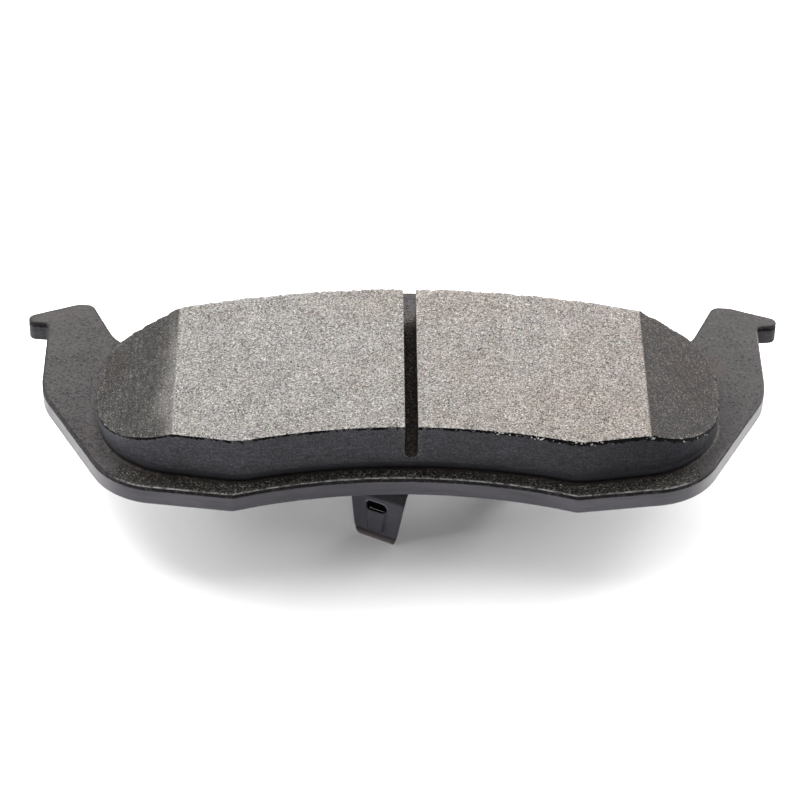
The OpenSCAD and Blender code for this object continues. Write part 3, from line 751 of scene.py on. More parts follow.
def build_block():
    b = Builder()
    step = 0.42
    R = SLOT_W / 2
    right, left = split_ring(step)
    k = 11
    across = np.linspace(-R, R, k + 1)[1:-1]
    mouth_n = np.stack([np.interp(across, [-R, R], [left[-1][0], right[0][0]]), np.interp(across, [-R, R], [left[-1][1], right[0][1]])], 1)
    mouth_f = np.stack([np.interp(-across, [-R, R], [left[0][0], right[-1][0]]), np.interp(-across, [-R, R], [left[0][1], right[-1][1]])], 1)
    ring = np.vstack([right, mouth_f, left, mouth_n])
    nr, nl = len(right), len(left)
    i_r = np.arange(0, nr)
    i_l = np.arange(nr + k - 1, nr + k - 1 + nl)
    low_z = [UNDER_TOP, 2.45, 2.8, SLOT_FLOOR]
    rows = [b.points(np.c_[ring, np.full(len(ring), z)], 1) for z in low_z]
    for a, c in zip(rows[:-1], rows[1:]):
        b.strip(a, c)
    f1 = R / (TOP - SLOT_FLOOR)
    frac = np.r_[0, f1, f1 + (1 - f1) * (1 - (1 - np.linspace(0, 1, 14)[1:-1]) ** 1.3), 0.984, 1.0]
    halves = []
    for idx in (i_r, i_l):
        p = ring[idx]
        prev = rows[-1][idx]
        stack = [prev]
        for f in frac[1:]:
            cur = b.points(np.c_[p, SLOT_FLOOR + (block_top(p[:, 0]) - SLOT_FLOOR) * f], 2 if f == 1 else 1)
            b.strip(prev, cur, closed=False)
            stack.append(cur)
            prev = cur
        halves.append((p, stack))
    # slot walls, from the spring of its half-round bottom upwards
    ny = int(round(48.2 / step))
    walls = []
    for (p, stack), at_start in ((halves[0], True), (halves[1], False)):
        e0 = p[0] if at_start else p[-1]          # near end
        e1 = p[-1] if at_start else p[0]          # far end
        s = np.linspace(0, 1, ny + 1)[1:-1]
        line = e0 + (e1 - e0) * s[:, None]
        prev = None
        rowset = []
        for j in range(1, len(frac)):
            ids = b.points(np.c_[line, np.full(len(line), SLOT_FLOOR + (TOP - SLOT_FLOOR) * frac[j])], 4 if frac[j] == 1 else 3)
            near_i = stack[j][0] if at_start else stack[j][-1]
            far_i = stack[j][-1] if at_start else stack[j][0]
            full = np.r_[near_i, ids, far_i]
            if prev is not None:
                b.strip(prev, full, closed=False, flip=at_start)
            prev = full
            rowset.append(full)
        walls.append((np.vstack([e0, line, e1]), rowset))
    rw, lw = walls
    # the bottom, and the small faces between it and the sides at both mouths
    zc = SLOT_FLOOR + R - np.sqrt(np.maximum(R * R - across ** 2, 0))
    nm_low = rows[-1][nr + k - 1 + nl:]                 # near mouth, left to right
    fm_low = rows[-1][nr:nr + k - 1][::-1]              # far mouth, left to right
    cols, near_arc, far_arc = [lw[1][0]], [lw[1][0][0]], [lw[1][0][-1]]
    for j in range(k - 1):
        t = (across[j] + R) / (2 * R)
        line = lw[0] * (1 - t) + rw[0] * t
        ids = b.points(np.c_[line, np.full(len(line), zc[j])], 3)
        cols.append(ids)
        near_arc.append(ids[0])
        far_arc.append(ids[-1])
    cols.append(rw[1][0])
    near_arc.append(rw[1][0][0])
    far_arc.append(rw[1][0][-1])
    for a, c in zip(cols[:-1], cols[1:]):
        b.strip(a, c, closed=False, flip=True)
    low_n = np.r_[halves[1][1][0][-1], nm_low, halves[0][1][0][0]]
    low_f = np.r_[halves[1][1][0][0], fm_low, halves[0][1][0][-1]]
    b.strip(low_n, np.array(near_arc), closed=False)
    b.strip(low_f, np.array(far_arc), closed=False, flip=True)
    # top faces
    for (p, stack), wall, right_side in ((halves[0], rw, True), (halves[1], lw, False)):
        outer_ids, outer = stack[-1], p
        w_ids, w = wall[1][-1], wall[0]
        # the outline runs near to far on the right half and far to near on the left
        inner_ids, inner = (w_ids[1:-1][::-1], w[1:-1][::-1]) if right_side else (w_ids[1:-1], w[1:-1])
        ids = np.r_[outer_ids, inner_ids]
        xy = np.vstack([outer, inner])
        g = grid_points(xy, 0.56, 21 if right_side else 22, 0.33)
        b.cap([(ids, xy)], [], g, lambda q: block_top(q[:, 0]), tag=5)
    b.cap([(rows[0], ring)], [], grid_points(ring, 4.0, 23, 2.0), UNDER_TOP, flip=True)

    v = b.xyz()
    tag = np.concatenate(b.tags)
    n0, n1 = Noise(31), Noise(32)
    dense = resample(block_line, 0.2)
    d_out = distance(v[:, :2], dense)
    x, y, z = v.T
    side = tag == 1
    rim_v = tag == 2
    slot = tag == 3
    top = (tag == 5) | (tag == 2) | (tag == 4)
    d_out = np.where(side | rim_v, 0.0, d_out)
    d_slot = np.where(np.isin(tag, (3, 4)), 0.0, np.abs(np.abs(x - GRIND_DX) - R))
    depth = block_top(x) - z
    beyond = np.abs(x - GRIND_DX) - FLAT
    cham_l = np.where(beyond < 0, 0.47 * smooth(-0.6, 0.3, beyond), 0.47 + 0.53 * smooth(0.2, 8.5, beyond + 1.5 * n0.octaves(3, y * 0.1, 0, 2)))
    cham_l = cham_l * (1 + 0.45 * smooth(26, 42, y))
    cham_r = smooth(-0.45, 0.4, beyond)
    attrs = {
        "cham": np.where(x < 0, cham_l, cham_r),
        "side": np.where(side, smooth(-0.25, 0.7, depth), np.where(rim_v, 0.16, 0.0)),
        "cut": np.where(slot, 1.0, 0.0),
        "rim": np.where(top & (tag != 4), np.exp(-(d_out / 0.5) ** 2), 0.0),
        # low: painted shade towards the foot of the sides
        "low": 0.38 * (1 - smooth(UNDER_TOP, 5.2, z)) ** 1.3,
        "gap": np.where(side, np.exp(-((depth - 0.42 - 0.1 * smooth(0, 40, x)) / (0.34 + 0.34 * smooth(5, 45, x))) ** 2), np.where(rim_v, 0.12 + 0.16 * smooth(0, 30, x), 0))
        * np.minimum(1, 0.62 + 0.35 * smooth(0, 30, x) + 0.4 * smooth(-0.1, 0.5, n0.octaves(x * 0.35, y * 0.35, 8, 2))),
        "mouth": np.where(side, np.exp(-(np.maximum(np.abs(x - GRIND_DX) - R, 0) / 0.75) ** 2) * smooth(4.0, 5.5, z), 0.0) * (y < 20),
        "ruddy": np.exp(-((x - 64) / 6.0) ** 2 - ((y - 24) / 9.0) ** 2) + 0.5 * np.exp(-((x + 66) / 4.0) ** 2 - ((y - 26) / 7.0) ** 2),
    }
    # how far the near and far edges have crumbled
    chip = np.clip(n0.octaves(x * 0.9, y * 0.9, 2, 3) + 0.04, 0, 1) * 0.5
    fine = np.clip(n1.octaves(x * 2.1, y * 2.1, 6, 2) + 0.1, 0, 1) * 0.4
    big = np.clip(n0.at(x * 0.16, y * 0.16, 5) - 0.45, 0, 1)
    chip = chip + fine + big * np.abs(n1.octaves(x * 1.4, y * 1.4, 1, 2)) * 1.0

    def nearest(sel):
        j = np.empty(len(sel), int)
        for i in range(0, len(sel), 3000):
            q = sel[i:i + 3000]
            j[i:i + 3000] = ((v[q, None, :2] - dense[None]) ** 2).sum(2).argmin(1)
        return j

    def move(v):
        v = v.copy()
        dn = out_normals(dense, 3)
        sel = np.where((d_out < 1.2) & (depth < 2.6) & ~slot)[0]
        nrm = np.zeros((len(v), 2))
        nrm[sel] = dn[nearest(sel)]
        # crumbled rim: the top dips and the side draws in
        fall_top = np.exp(-(d_out / 0.42) ** 2) * top
        fall_side = np.exp(-(depth / 0.5) ** 2) * side
        v[:, 2] -= chip * (fall_top * 0.62 + fall_side * 0.12)
        v[:, :2] -= nrm * ((chip * 0.5 + 0.01)[:, None] * (fall_top + fall_side)[:, None])
        # the same, finer, along the slot
        sl = np.clip(n1.octaves(y * 1.1, x * 3, 7, 3), 0, 1)
        fs = np.exp(-(d_slot / 0.35) ** 2) * top
        v[:, 2] -= sl * 0.25 * fs
        # ground face
        v[:, 2] += np.where(top, np.minimum(0.02 * n1.octaves(x * 1.7, y * 1.7, z * 1.7, 2), 0.0) - 0.004, 0)
        # sawn slot: its walls and floor are torn a little
        tear = np.abs(n0.octaves(x * 1.5, y * 1.2, z * 1.4 + 4, 3))
        out = np.sign(x - GRIND_DX)
        v[:, 0] += np.where(slot & (z > SLOT_FLOOR + 1.2), out * 0.09 * tear, 0)
        v[:, 2] -= np.where(slot & (z <= SLOT_FLOOR + 1.2), 0.22 * tear, 0)
        # moulded sides: slight draft, a wavy skin
        s2 = np.where(side)[0]
        wav = np.abs(n0.octaves(x[s2] * 0.22 + y[s2] * 0.1, y[s2] * 0.22, z[s2] * 0.5, 3)) * 0.06
        draft = 0.01 + 0.03 * (z[s2] - UNDER_TOP) / 10 + wav
        v[s2, :2] -= dn[nearest(s2)] * draft[:, None]
        return v

    return b.make("friction_block_visual", [M_FRICTION], attributes=attrs, move=move, sharp=48)


# ---------------------------------------------------------------- underlayer and bond film
def build_underlayer():
    b = Builder()
    nz = Noise(41)
    ring = resample(block_line, 0.6)
    nrm = out_normals(ring, 2)
    w = np.abs(nz.octaves(ring[:, 0] * 0.3, ring[:, 1] * 0.3, 0, 3))
    rows, lows, xys = [], [], []
    for d, z in ((0.40, 0.15), (0.28, 0.25), (0.16, 0.5), (0.09, 0.9), (0.05, 1.4), (0.03, 1.85), (0.02, 2.1), (0.02, 2.2)):
        p = ring - nrm * (d + 0.05 * w)[:, None]
        rows.append(b.points(np.c_[p, np.full(len(p), z)]))
        xys.append(p)
    for a, c in zip(rows[:-1], rows[1:]):
        b.strip(a, c)
    b.cap([(rows[-1], xys[-1])], [], grid_points(xys[-1], 4, 42, 2.0), 2.2)
    plugs = []
    for c in HOLES:
        a = np.linspace(0, 2 * math.pi, 48, endpoint=False)
        u = np.stack([np.cos(a), np.sin(a)], 1)
        prof = [(4.0, 0.15), (3.97, -0.1), (3.97, -4.5), (3.9, -4.75)]
        hl = [b.points(np.c_[np.array(c) + u * q, np.full(48, z)]) for q, z in prof]
        for k in range(3):
            b.strip(hl[k + 1], hl[k])
        cz = b.points([[c[0], c[1], -4.8]])[0]
        b.faces([[hl[-1][i], cz, hl[-1][(i + 1) % 48]] for i in range(48)])
        plugs.append((hl[0], np.array(c) + u * 4.0))
    b.cap([(rows[0], xys[0])], plugs, grid_points(xys[0], 4, 43, 2.0, [(c, 4.0) for c in HOLES]), 0.15, flip=True)
    v = b.xyz()
    # low: painted shade, darker towards the foot
    return b.make("underlayer_visual", [M_SKIN], attributes={"low": 1 - 0.64 * smooth(0.2, 1.9, v[:, 2])}, sharp=50)


def build_bond():
    """The film under the block, with what was squeezed out round its foot."""
    b = Builder()
    nz = Noise(51)
    ring = resample(block_line, 0.3)
    nrm = out_normals(ring, 4)
    a = nz.octaves(ring[:, 0] * 0.22, ring[:, 1] * 0.22, 0, 3)
    f = nz.octaves(ring[:, 0] * 1.6, ring[:, 1] * 1.6, 3, 3)
    more = 0.25 + 0.75 * smooth(-20, -48, ring[:, 0])
    w = np.clip((0.55 + 0.55 * a + 0.4 * f) * (0.5 + 0.6 * more), 0.10, 1.5)
    h = np.clip((0.22 + 0.16 * a + 0.18 * f) * (0.45 + 0.6 * more), 0.05, 0.45)
    prof = [(-0.75, 0.15, 0), (-0.35, 0.15, 0.12), (-0.1, 0.05, 0.9), (0.12, 0.02, 1.0), (0.38, 0.0, 0.78), (0.66, 0.0, 0.42), (0.88, 0.0, 0.16), (1.0, -0.015, 0.0)]
    rows, xys = [], []
    for k, (d, z0, hh) in enumerate(prof):
        dd = d * w if d > 0 else np.full(len(ring), d)
        jit = 0.05 * nz.at(ring[:, 0] * 3.1, ring[:, 1] * 3.1, k) * (0.3 < hh < 1.01)
        p = ring + nrm * dd[:, None]
        rows.append(b.points(np.c_[p, z0 + hh * h + jit * h * 2]))
        xys.append(p)
    for r0, r1 in zip(rows[:-1], rows[1:]):
        b.strip(r1, r0)
    low = b.points(np.c_[xys[-1], np.full(len(ring), -0.02)])
    hs = []
    for c in HOLES:
        t = np.linspace(0, 2 * math.pi, 40, endpoint=False)
        q = np.array(c) + 4.02 * np.stack([np.cos(t), np.sin(t)], 1)
        top, bot = b.points(np.c_[q, np.full(40, 0.15)]), b.points(np.c_[q, np.full(40, -0.02)])
        b.strip(top, bot)
        hs.append((top, bot, q))
    b.strip(low, rows[-1])
    b.cap([(rows[0], xys[0])], [(t, q) for t, _, q in hs], grid_points(xys[0], 5, 52, 2.5, [(c, 4.0) for c in HOLES]), 0.15)
    b.cap([(low, xys[-1])], [(o, q) for _, o, q in hs], grid_points(xys[0], 5, 53, 2.5, [(c, 4.0) for c in HOLES]), -0.02, flip=True)
    return b.make("bond_layer_visual", [M_BEAD], sharp=0)


# ---------------------------------------------------------------- shim
def build_shim(name, z0, z1, inset, mat, hole=2.5, round_edge=0.0):
    """One layer of the shim; heights are measured from the shim's back, as the piston sees it."""
    b = Builder()
    base = -PLATE_T - 1.0
    ring = resample(shim_line, 0.7)
    nrm = out_normals(ring, 2)
    nz = Noise(61)
    w = 0.02 + 0.02 * nz.octaves(ring[:, 0] * 0.6, ring[:, 1] * 0.6, 0, 2)
    e = round_edge
    prof = [(inset + e, z1), (inset + e * 0.3, z1 - e * 0.3), (inset, z1 - e), (inset, z0 + e), (inset + e * 0.3, z0 + e * 0.3), (inset + e, z0)] if e else [(inset, z1), (inset, z0)]
    rows, xys = [], []
    for d, z in prof:
        p = ring - nrm * (d + w)[:, None]
        rows.append(b.points(np.c_[p, np.full(len(p), base + z)]))
        xys.append(p)
    for r0, r1 in zip(rows[:-1], rows[1:]):
        b.strip(r1, r0)
    t = np.linspace(0, 2 * math.pi, 48, endpoint=False)
    q = PISTON + (hole + 0.02) * np.stack([np.cos(t), np.sin(t)], 1)
    top, bot = b.points(np.c_[q, np.full(48, base + z1)]), b.points(np.c_[q, np.full(48, base + z0)])
    b.strip(top, bot)
    hs = [(PISTON, 2.5)]
    b.cap([(rows[0], xys[0])], [(top, q)], grid_points(xys[0], 3.5, 62, 1.6, hs), base + z1)
    b.cap([(rows[-1], xys[-1])], [(bot, q)], grid_points(xys[-1], 3.5, 63, 1.6, hs), base + z0, flip=True)
    return b.make(name, [mat])


# ---------------------------------------------------------------- clip
CLIP_T = 0.8
ROOT_R, BEND_R, LEAN = 20.0, 2.0, math.radians(85)
MID_R = BEND_R - CLIP_T / 2
TURN, FOOT_R, FOOT_L = math.radians(60), 0.8, 1.0
CLIP_H = -FLOOR_Z / MM
_drop = FOOT_R * (math.cos(LEAN - TURN) - math.cos(LEAN)) + FOOT_L * math.sin(LEAN - TURN) + CLIP_T / 2 * math.cos(LEAN - TURN)
LEG_L = (CLIP_H - BEND_R + MID_R * math.cos(LEAN) - _drop) / math.sin(LEAN)
ARM_IN = 15.5


def leg_path():
    """Centre line of a leg from the hub's arm to the toe: arc length, radius, height, heading."""
    rows = [(ARM_IN, -CLIP_T / 2, 0.0), (18.0, -CLIP_T / 2, 0.0)]
    for i in range(0, 17):
        a = LEAN * i / 16
        rows.append((ROOT_R + MID_R * math.sin(a), -BEND_R + MID_R * math.cos(a), -a))
    r0, z0, _ = rows[-1]
    for i in range(1, 25):
        rows.append((r0 + LEG_L * i / 24 * math.cos(LEAN), z0 - LEG_L * i / 24 * math.sin(LEAN), -LEAN))
    r1, z1, _ = rows[-1]
    for i in range(1, 13):
        a = TURN * i / 12
        rows.append((r1 + FOOT_R * (math.sin(LEAN) - math.sin(LEAN - a)), z1 + FOOT_R * (math.cos(LEAN) - math.cos(LEAN - a)), a - LEAN))
    r2, z2, h = rows[-1]
    for i in range(1, 5):
        rows.append((r2 + FOOT_L * i / 4 * math.cos(h), z2 + FOOT_L * i / 4 * math.sin(h), h))
    p = np.array(rows)
    s = np.r_[0, np.cumsum(np.hypot(np.diff(p[:, 0]), np.diff(p[:, 1])))]
    return s, p


PATH_S, PATH = leg_path()


def thick_sheet(b, outline, holes, extra, lift, place, t, r_edge, mat=0, open_edge=None):
    """A sheet cut to an outline in (s, w), with rounded edges, lifted by lift(s, w) and put in place by place(s, w, n).
    open_edge tells which outline points stay square, as where the sheet carries on in another piece."""
    loops = [(outline, True)] + [(h, False) for h in holes]
    faces = {1: [], -1: []}
    for line, outer in loops:
        nrm = out_normals(line, 1) * (1 if outer else -1)
        if not outer and np.sum(line[:, 0] * np.roll(line[:, 1], -1) - np.roll(line[:, 0], -1) * line[:, 1]) < 0:
            nrm = -nrm
        keep = np.ones(len(line)) if open_edge is None or not outer else np.where(open_edge(line), 0.0, 1.0)
        prof = [(1.0, t / 2), (0.45, t / 2 - 0.12 * r_edge / 0.3), (0.12, t / 2 - r_edge * 0.6), (0.0, t / 2 - r_edge * 1.1),
                (0.0, -t / 2 + r_edge * 1.1), (0.12, -t / 2 + r_edge * 0.6), (0.45, -t / 2 + 0.12 * r_edge / 0.3), (1.0, -t / 2)]
        rows = []
        for k, (d, n) in enumerate(prof):
            q = line - nrm * (d * r_edge * keep)[:, None]
            nn = np.full(len(q), n)
            rows.append((b.points(place(q[:, 0], q[:, 1], nn + lift(q[:, 0], q[:, 1]))), q))
        for (i0, _), (i1, _) in zip(rows[:-1], rows[1:]):
            b.strip(i1, i0, mat, flip=not outer)
        faces[1].append(rows[0])
        faces[-1].append(rows[-1])
    for sgn in (1, -1):
        ring, hl = faces[sgn][0], faces[sgn][1:]
        zf = sgn * t / 2
        pts = np.vstack([r[1] for r in [ring] + hl] + [extra])
        inner = b.points(place(extra[:, 0], extra[:, 1], zf + lift(extra[:, 0], extra[:, 1])))
        ids = np.concatenate([r[0] for r in [ring] + hl] + [inner])
        edges, n = [], 0
        for r in [ring] + hl:
            k = len(r[1])
            edges += [(n + i, n + (i + 1) % k) for i in range(k)]
            n += k
        co, _, tri, orig, _, _ = delaunay_2d_cdt([Vector(p) for p in pts], edges, [], 0, 1e-6)
        where = np.array([o[0] if o else -1 for o in orig])
        tri = np.array([q for q in tri if len(q) == 3])
        tri = where[tri[(where[tri] >= 0).all(1)]]
        c = pts[tri].mean(1)
        keep = inside(c, ring[1])
        for r in hl:
            keep &= ~inside(c, r[1])
        tri = tri[keep]
        a, d, e = pts[tri[:, 0]], pts[tri[:, 1]], pts[tri[:, 2]]
        area = (d[:, 0] - a[:, 0]) * (e[:, 1] - a[:, 1]) - (d[:, 1] - a[:, 1]) * (e[:, 0] - a[:, 0])
        tri[area < 0] = tri[area < 0][:, ::-1]
        tri = ids[tri[np.abs(area) > 1e-10]]
        b.faces(tri if sgn > 0 else tri[:, ::-1], mat)


def leg_half(s):
    z = np.interp(s, PATH_S, PATH[:, 1])
    return np.minimum(7.0 + 0.15 * np.minimum(z + 0.9, 0), 7.0) - 0.02


def build_leg(name, angle):
    b = Builder()
    s_end = PATH_S[-1]
    s_hole = float(np.interp(6.0, -PATH[2:, 1], PATH_S[2:]))
    ss = np.linspace(0, s_end, 90)
    w_end = float(leg_half(s_end))

    def flank(rc):
        """One side of the leg from the root to the toe, with its corner rounded by rc."""
        run = [(s, leg_half(s)) for s in ss if s < s_end - rc]
        arc = [(s_end - rc + rc * math.sin(a), w_end - rc + rc * math.cos(a)) for a in np.linspace(0.1, math.pi / 2, 10)]
        return np.array([(float(s), float(w)) for s, w in run + arc])

    right, left = flank(0.4), flank(1.8) * [1, -1]
    toe = np.linspace(right[-1], left[-1], 26)[1:-1]
    root = np.linspace(left[0], right[0], 36)[1:-1]
    outline = np.vstack([right, toe, left[::-1], root])
    if np.sum(outline[:, 0] * np.roll(outline[:, 1], -1) - np.roll(outline[:, 0], -1) * outline[:, 1]) < 0:
        outline = outline[::-1]
    t = np.linspace(0, 2 * math.pi, 48, endpoint=False)
    hole = np.stack([s_hole + 1.1 * np.cos(t), 1.1 * np.sin(t) + 1.4 * np.sign(np.sin(t)) * np.minimum(1, np.abs(np.sin(t)) * 6)], 1)
    r = rng(71)
    gs, gw = np.meshgrid(np.arange(0.25, s_end, 0.34), np.arange(-7, 7.01, 0.34))
    ex = np.stack([gs.ravel(), gw.ravel()], 1)
    ex = ex + (r.rand(*ex.shape) - 0.5) * 0.06
    dense = resample(outline, 0.15)
    ex = ex[inside(ex, outline)]
    ex = ex[distance(ex, dense) > 0.42]
    ex = ex[distance(ex, resample(hole, 0.15)) > 0.36]
    ex = ex[~inside(ex, hole)]

    end = float(np.interp(12.9, -PATH[2:, 1], PATH_S[2:]))

    def along(s):
        return smooth(s_hole + 0.2, s_hole + 1.3, s) * (1 - smooth(end - 1.0, end, s))

    def lift(s, w):
        s, w = np.asarray(s), np.asarray(w)
        # channel pressed outwards, from the hole down to the foot
        half = 2.5 - 0.11 * np.clip(s - s_hole, 0, 10)
        rib = (1 - smooth(half - 0.15, half + 0.2, np.abs(w)))
        up = 0.42 * rib * along(s)
        # rolled lip round the hole
        q = np.hypot(s - s_hole, np.maximum(np.abs(w) - 1.4, 0))
        up = up + 0.18 * np.exp(-((q - 1.15) / 0.22) ** 2) * (1 - smooth(-0.6, 0.3, s - s_hole))
        return up

    a = math.radians(angle)
    ca, sa = math.cos(a), math.sin(a)

    seen = []

    def place(s, w, nn):
        seen.append(np.stack([s, w, nn], 1))
        r0 = np.interp(s, PATH_S, PATH[:, 0])
        z0 = np.interp(s, PATH_S, PATH[:, 1])
        h = np.interp(s, PATH_S, PATH[:, 2])
        rr = r0 - nn * np.sin(h)
        zz = z0 + nn * np.cos(h)
        return np.stack([rr * ca - w * sa, rr * sa + w * ca, zz], 1)

    thick_sheet(b, outline, [hole], ex, lift, place, CLIP_T, 0.16, open_edge=lambda q: q[:, 0] < 1e-6)
    # drawn collar behind the hole, near black and narrowing to close the view through it: painted shade
    ring = None
    for k, nn in ((0.97, -0.25), (0.90, -0.6), (0.66, -1.05), (0.42, -1.5), (0.86, -1.52), (1.0, -1.1), (1.12, -0.7), (1.3, -0.36)):
        q = np.stack([s_hole + (hole[:, 0] - s_hole) * k - 0.16 * max(0.0, -nn - 0.25), hole[:, 1] * (0.35 + 0.65 * k)], 1)
        cur = b.points(place(q[:, 0], q[:, 1], np.full(len(q), nn)))
        if ring is not None:
            b.strip(cur, ring, 1, flip=True)
        ring = cur
    sw = np.vstack(seen)
    ss, ww, nn = sw.T
    z = np.interp(ss, PATH_S, PATH[:, 1])
    q = np.hypot(ss - s_hole, np.maximum(np.abs(ww) - 1.4, 0))
    half = 2.5 - 0.11 * np.clip(ss - s_hole, 0, 10)
    out = nn > 0
    # painted shade in and round the hole
    hole_shade = (1 - smooth(1.12, 1.3, q)) * np.where(out, smooth(-0.7, -0.1, ss - s_hole), 1.0)
    # painted shade in the bend under the plate, fading out towards the hub
    bend_shade = 0.8 * smooth(-4.3, -3.3, z - 0.03 * ww) * smooth(0.0, 3.0, ss)
    attrs = {"painted_shade": np.maximum(bend_shade, hole_shade),
             # painted highlight on the hole's lip
             "painted_lip_highlight": 0.45 * np.exp(-((q - 1.2) / 0.14) ** 2) * out * (1 - smooth(-0.5, 0.3, ss - s_hole)),
             # painted shade along the channel's flanks and in the toe's crease
             "painted_crease_shade": np.maximum(np.exp(-((np.abs(ww) - half) / 0.2) ** 2) * along(ss) * np.where(ww < 0, 1.0, 0.6),
                                  0.7 * np.exp(-((ss - s_end + 1.2) / 0.24) ** 2)) * out,
             # toe: painted lighter as lit from above, and brownish with dust and oil
             "toe": smooth(s_end - 0.95, s_end - 0.65, ss) * out}
    return b.make(name, [M_CLIP, M_HOLE_SHADE], shift=np.zeros(3), sharp=40, attributes=attrs)


def build_hub():
    b = Builder()
    # disc with three arms and hollow fillets between them
    path = []
    for i in range(3):
        a = math.radians(243 + 120 * i)
        u, w = np.array([math.cos(a), math.sin(a)]), np.array([-math.sin(a), math.cos(a)])
        h = 6.98
        base = math.sqrt(12.5 ** 2 - h ** 2)
        p0, p1 = u * ARM_IN - w * h, u * ARM_IN + w * h
        q0, q1 = u * base - w * h, u * base + w * h
        path += [[*q0, 2.2], [*p0, 0], [*p1, 0], [*q1, 2.2]]
        for k in (1, 2, 3):
            f0 = math.atan2(q1[1], q1[0])
            gap = math.radians(120) - 2 * math.asin(h / 12.5)
            f = f0 + gap * k / 4
            path.append([12.5 * math.cos(f), 12.5 * math.sin(f), 0])
    outline = resample(rounded(path, 8), 0.4)
    if np.sum(outline[:, 0] * np.roll(outline[:, 1], -1) - np.roll(outline[:, 0], -1) * outline[:, 1]) < 0:
        outline = outline[::-1]
    t = np.linspace(0, 2 * math.pi, 48, endpoint=False)
    hole = np.stack([2.52 * np.cos(t), 2.52 * np.sin(t)], 1)
    ex = grid_points(outline, 0.55, 81, 0.5, [((0, 0), 2.5)])

    def place(x, y, nn):
        return np.stack([x, y, nn - CLIP_T / 2], 1)

    def square(q):
        out = np.zeros(len(q), bool)
        for i in range(3):
            a = math.radians(243 + 120 * i)
            out |= (q @ np.array([math.cos(a), math.sin(a)])) > ARM_IN - 0.05
        return out

    thick_sheet(b, outline, [hole], ex, lambda x, y: 0 * x, place, CLIP_T, 0.16, open_edge=square)
    v = b.xyz()
    r = np.hypot(v[:, 0], v[:, 1])
    back = v[:, 2] < -CLIP_T / 2

    # shallow ring pressed into the hub's outer face
    def move(v):
        v = v.copy()
        v[:, 2] += np.where(back, 0.22 * np.exp(-((r - 8.6) / 0.8) ** 2), 0)
        return v

    return b.make("clip_hub_visual", [M_CLIP], shift=np.zeros(3), sharp=40, move=move)


def build_rivet():
    b = Builder()
    prof = [(2.0, 5.98), (4.3, 5.98), (4.45, 5.9), (2.5, 4.0), (2.49, 2.0), (2.49, 0.0), (2.49, -0.8), (4.2, -0.8),
            (4.62, -0.88), (4.74, -1.05), (4.7, -1.25), (4.5, -1.5), (4.1, -1.78), (3.5, -2.02), (2.9, -2.16), (2.3, -2.24), (1.9, -2.27),
            (1.6, -2.24), (1.35, -2.16), (1.15, -2.12), (0.6, -2.11)]
    n = 72
    a = np.linspace(0, 2 * math.pi, n, endpoint=False)
    nz = Noise(91)
    rings = []
    for r, z in prof:
        zz = np.full(n, z)
        if z < -1.0:
            zz = zz + 0.03 * nz.octaves(r * np.cos(a) * 1.2, r * np.sin(a) * 1.2, 0, 2)
        rings.append(b.points(np.c_[r * np.cos(a), r * np.sin(a), zz]))
    for outer, inner in zip(rings[:-1], rings[1:]):
        b.strip(inner, outer)
    top, tip = b.points([[0, 0, 5.98]])[0], b.points([[0, 0, -2.11]])[0]
    b.faces([[top, rings[0][i], rings[0][(i + 1) % n]] for i in range(n)])
    b.faces([[rings[-1][i], rings[-1][(i + 1) % n], tip] for i in range(n)])
    return b.make("clip_rivet_visual", [M_RIVET], shift=np.zeros(3), sharp=38)


# ---------------------------------------------------------------- put together
def put(ob, node, body="pad"):
    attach(ob, body)
    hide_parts(node)


put(build_plate(), "backing_plate")
put(build_bond(), "bond_layer")
put(build_underlayer(), "underlayer")
put(build_block(), "friction_block")
put(build_shim("shim_adhesive_visual", 0.9, 1.0, 0.35, M_GLUE), "shim_adhesive")
put(build_shim("shim_core_visual", 0.2, 0.9, 0.02, M_SHIM, round_edge=0.1), "shim_core")
put(build_shim("shim_coating_visual", 0.0, 0.2, 0.12, M_RUBBER, round_edge=0.06), "shim_coating")
put(build_hub(), "clip_hub")
put(build_rivet(), "clip_rivet")
for which, angle in (("front", 243), ("right", 3), ("rear", 123)):
    leg = build_leg("clip_leg_" + which + "_visual", angle)
    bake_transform(leg)
    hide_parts("clip_leg_" + which)

# ---------------------------------------------------------------- floor, light, camera
fm, g = material("floor_white")
g.finish((0.86, 0.86, 0.865), 0.35, Specular_IOR_Level=0.25)
fme = bpy.data.meshes.new("floor")
s = 6.0
fme.from_pydata([(-s, -s, FLOOR_Z), (s, -s, FLOOR_Z), (s, s, FLOOR_Z), (-s, s, FLOOR_Z)], [], [(0, 1, 2, 3)])
fme.materials.append(fm)
floor = bpy.data.objects.new("floor", fme)
bpy.context.scene.collection.objects.link(floor)

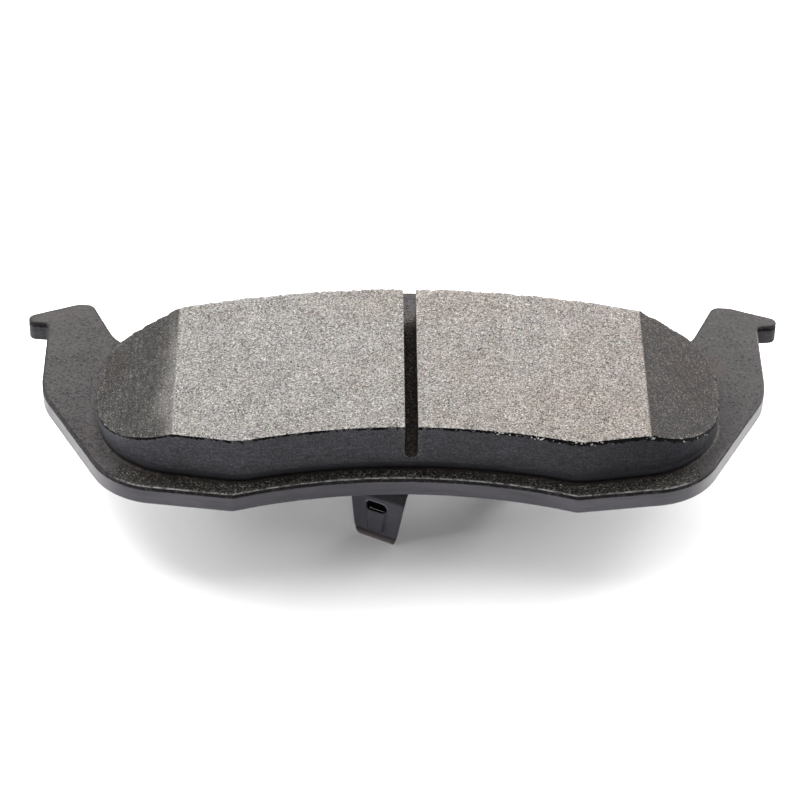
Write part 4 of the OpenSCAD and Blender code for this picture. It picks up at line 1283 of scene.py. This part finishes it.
world = bpy.data.worlds.new("studio")
bpy.context.scene.world = world
world.use_nodes = True
world.node_tree.nodes["Background"].inputs[0].default_value = (1.0, 1.0, 1.0, 1)
world.node_tree.nodes["Background"].inputs[1].default_value = 0.02


def softbox(name, azimuth, height, power, size=0.7, far=1.1):
    """A square softbox; azimuth 0 is in front of the pad, 90 to its right, 180 behind it."""
    a, e = math.radians(azimuth), math.radians(height)
    to = Vector((math.sin(a) * math.cos(e), -math.cos(a) * math.cos(e), math.sin(e)))
    d = bpy.data.lights.new(name, "AREA")
    d.shape = "SQUARE"
    d.size = size
    d.energy = power
    o = bpy.data.objects.new(name, d)
    bpy.context.scene.collection.objects.link(o)
    at = to * far
    at.z = max(at.z, 0.25)
    o.location = at
    o.rotation_euler = (-to).to_track_quat("-Z", "Y").to_euler()
    return o


for name, azimuth, height, power in (
        ("low_front", 0, 12, 5.5), ("low_back_right", 135, 12, 44.7), ("low_left", 270, 12, 19.4), ("low_right", 90, 12, 9.4),
        ("back", 180, 32, 5.4), ("back_left", 225, 32, 20.2), ("high_back", 180, 60, 6.2), ("high_back_left", 225, 60, 3.6)):
    softbox(name, azimuth, height, power)

yaw, elev, roll = math.radians(-1.084), math.radians(39.998), math.radians(0.971)
back = Vector((math.sin(yaw) * math.cos(elev), -math.cos(yaw) * math.cos(elev), math.sin(elev)))
fwd = -back
right = fwd.cross(Vector((0, 0, 1))).normalized()
up = right.cross(fwd)
r2 = right * math.cos(roll) + up * math.sin(roll)
u2 = -right * math.sin(roll) + up * math.cos(roll)
cam_data = bpy.data.cameras.new("camera")
cam = bpy.data.objects.new("camera", cam_data)
bpy.context.scene.collection.objects.link(cam)
m3 = Matrix((r2, u2, back)).transposed()
place_at = Vector((-11.934, -557.369, 487.437)) + Vector(OFF.tolist())
cam.matrix_world = Matrix.Translation(place_at * MM) @ m3.to_4x4()
cam_data.sensor_fit = "HORIZONTAL"
cam_data.sensor_width = 36.0
cam_data.lens = 3390.5 * 36.0 / 800.0
cam_data.clip_start = 0.01
cam_data.clip_end = 20
bpy.context.scene.camera = cam
bpy.context.scene.view_settings.view_transform = "Standard"
bpy.context.scene.view_settings.look = "None"
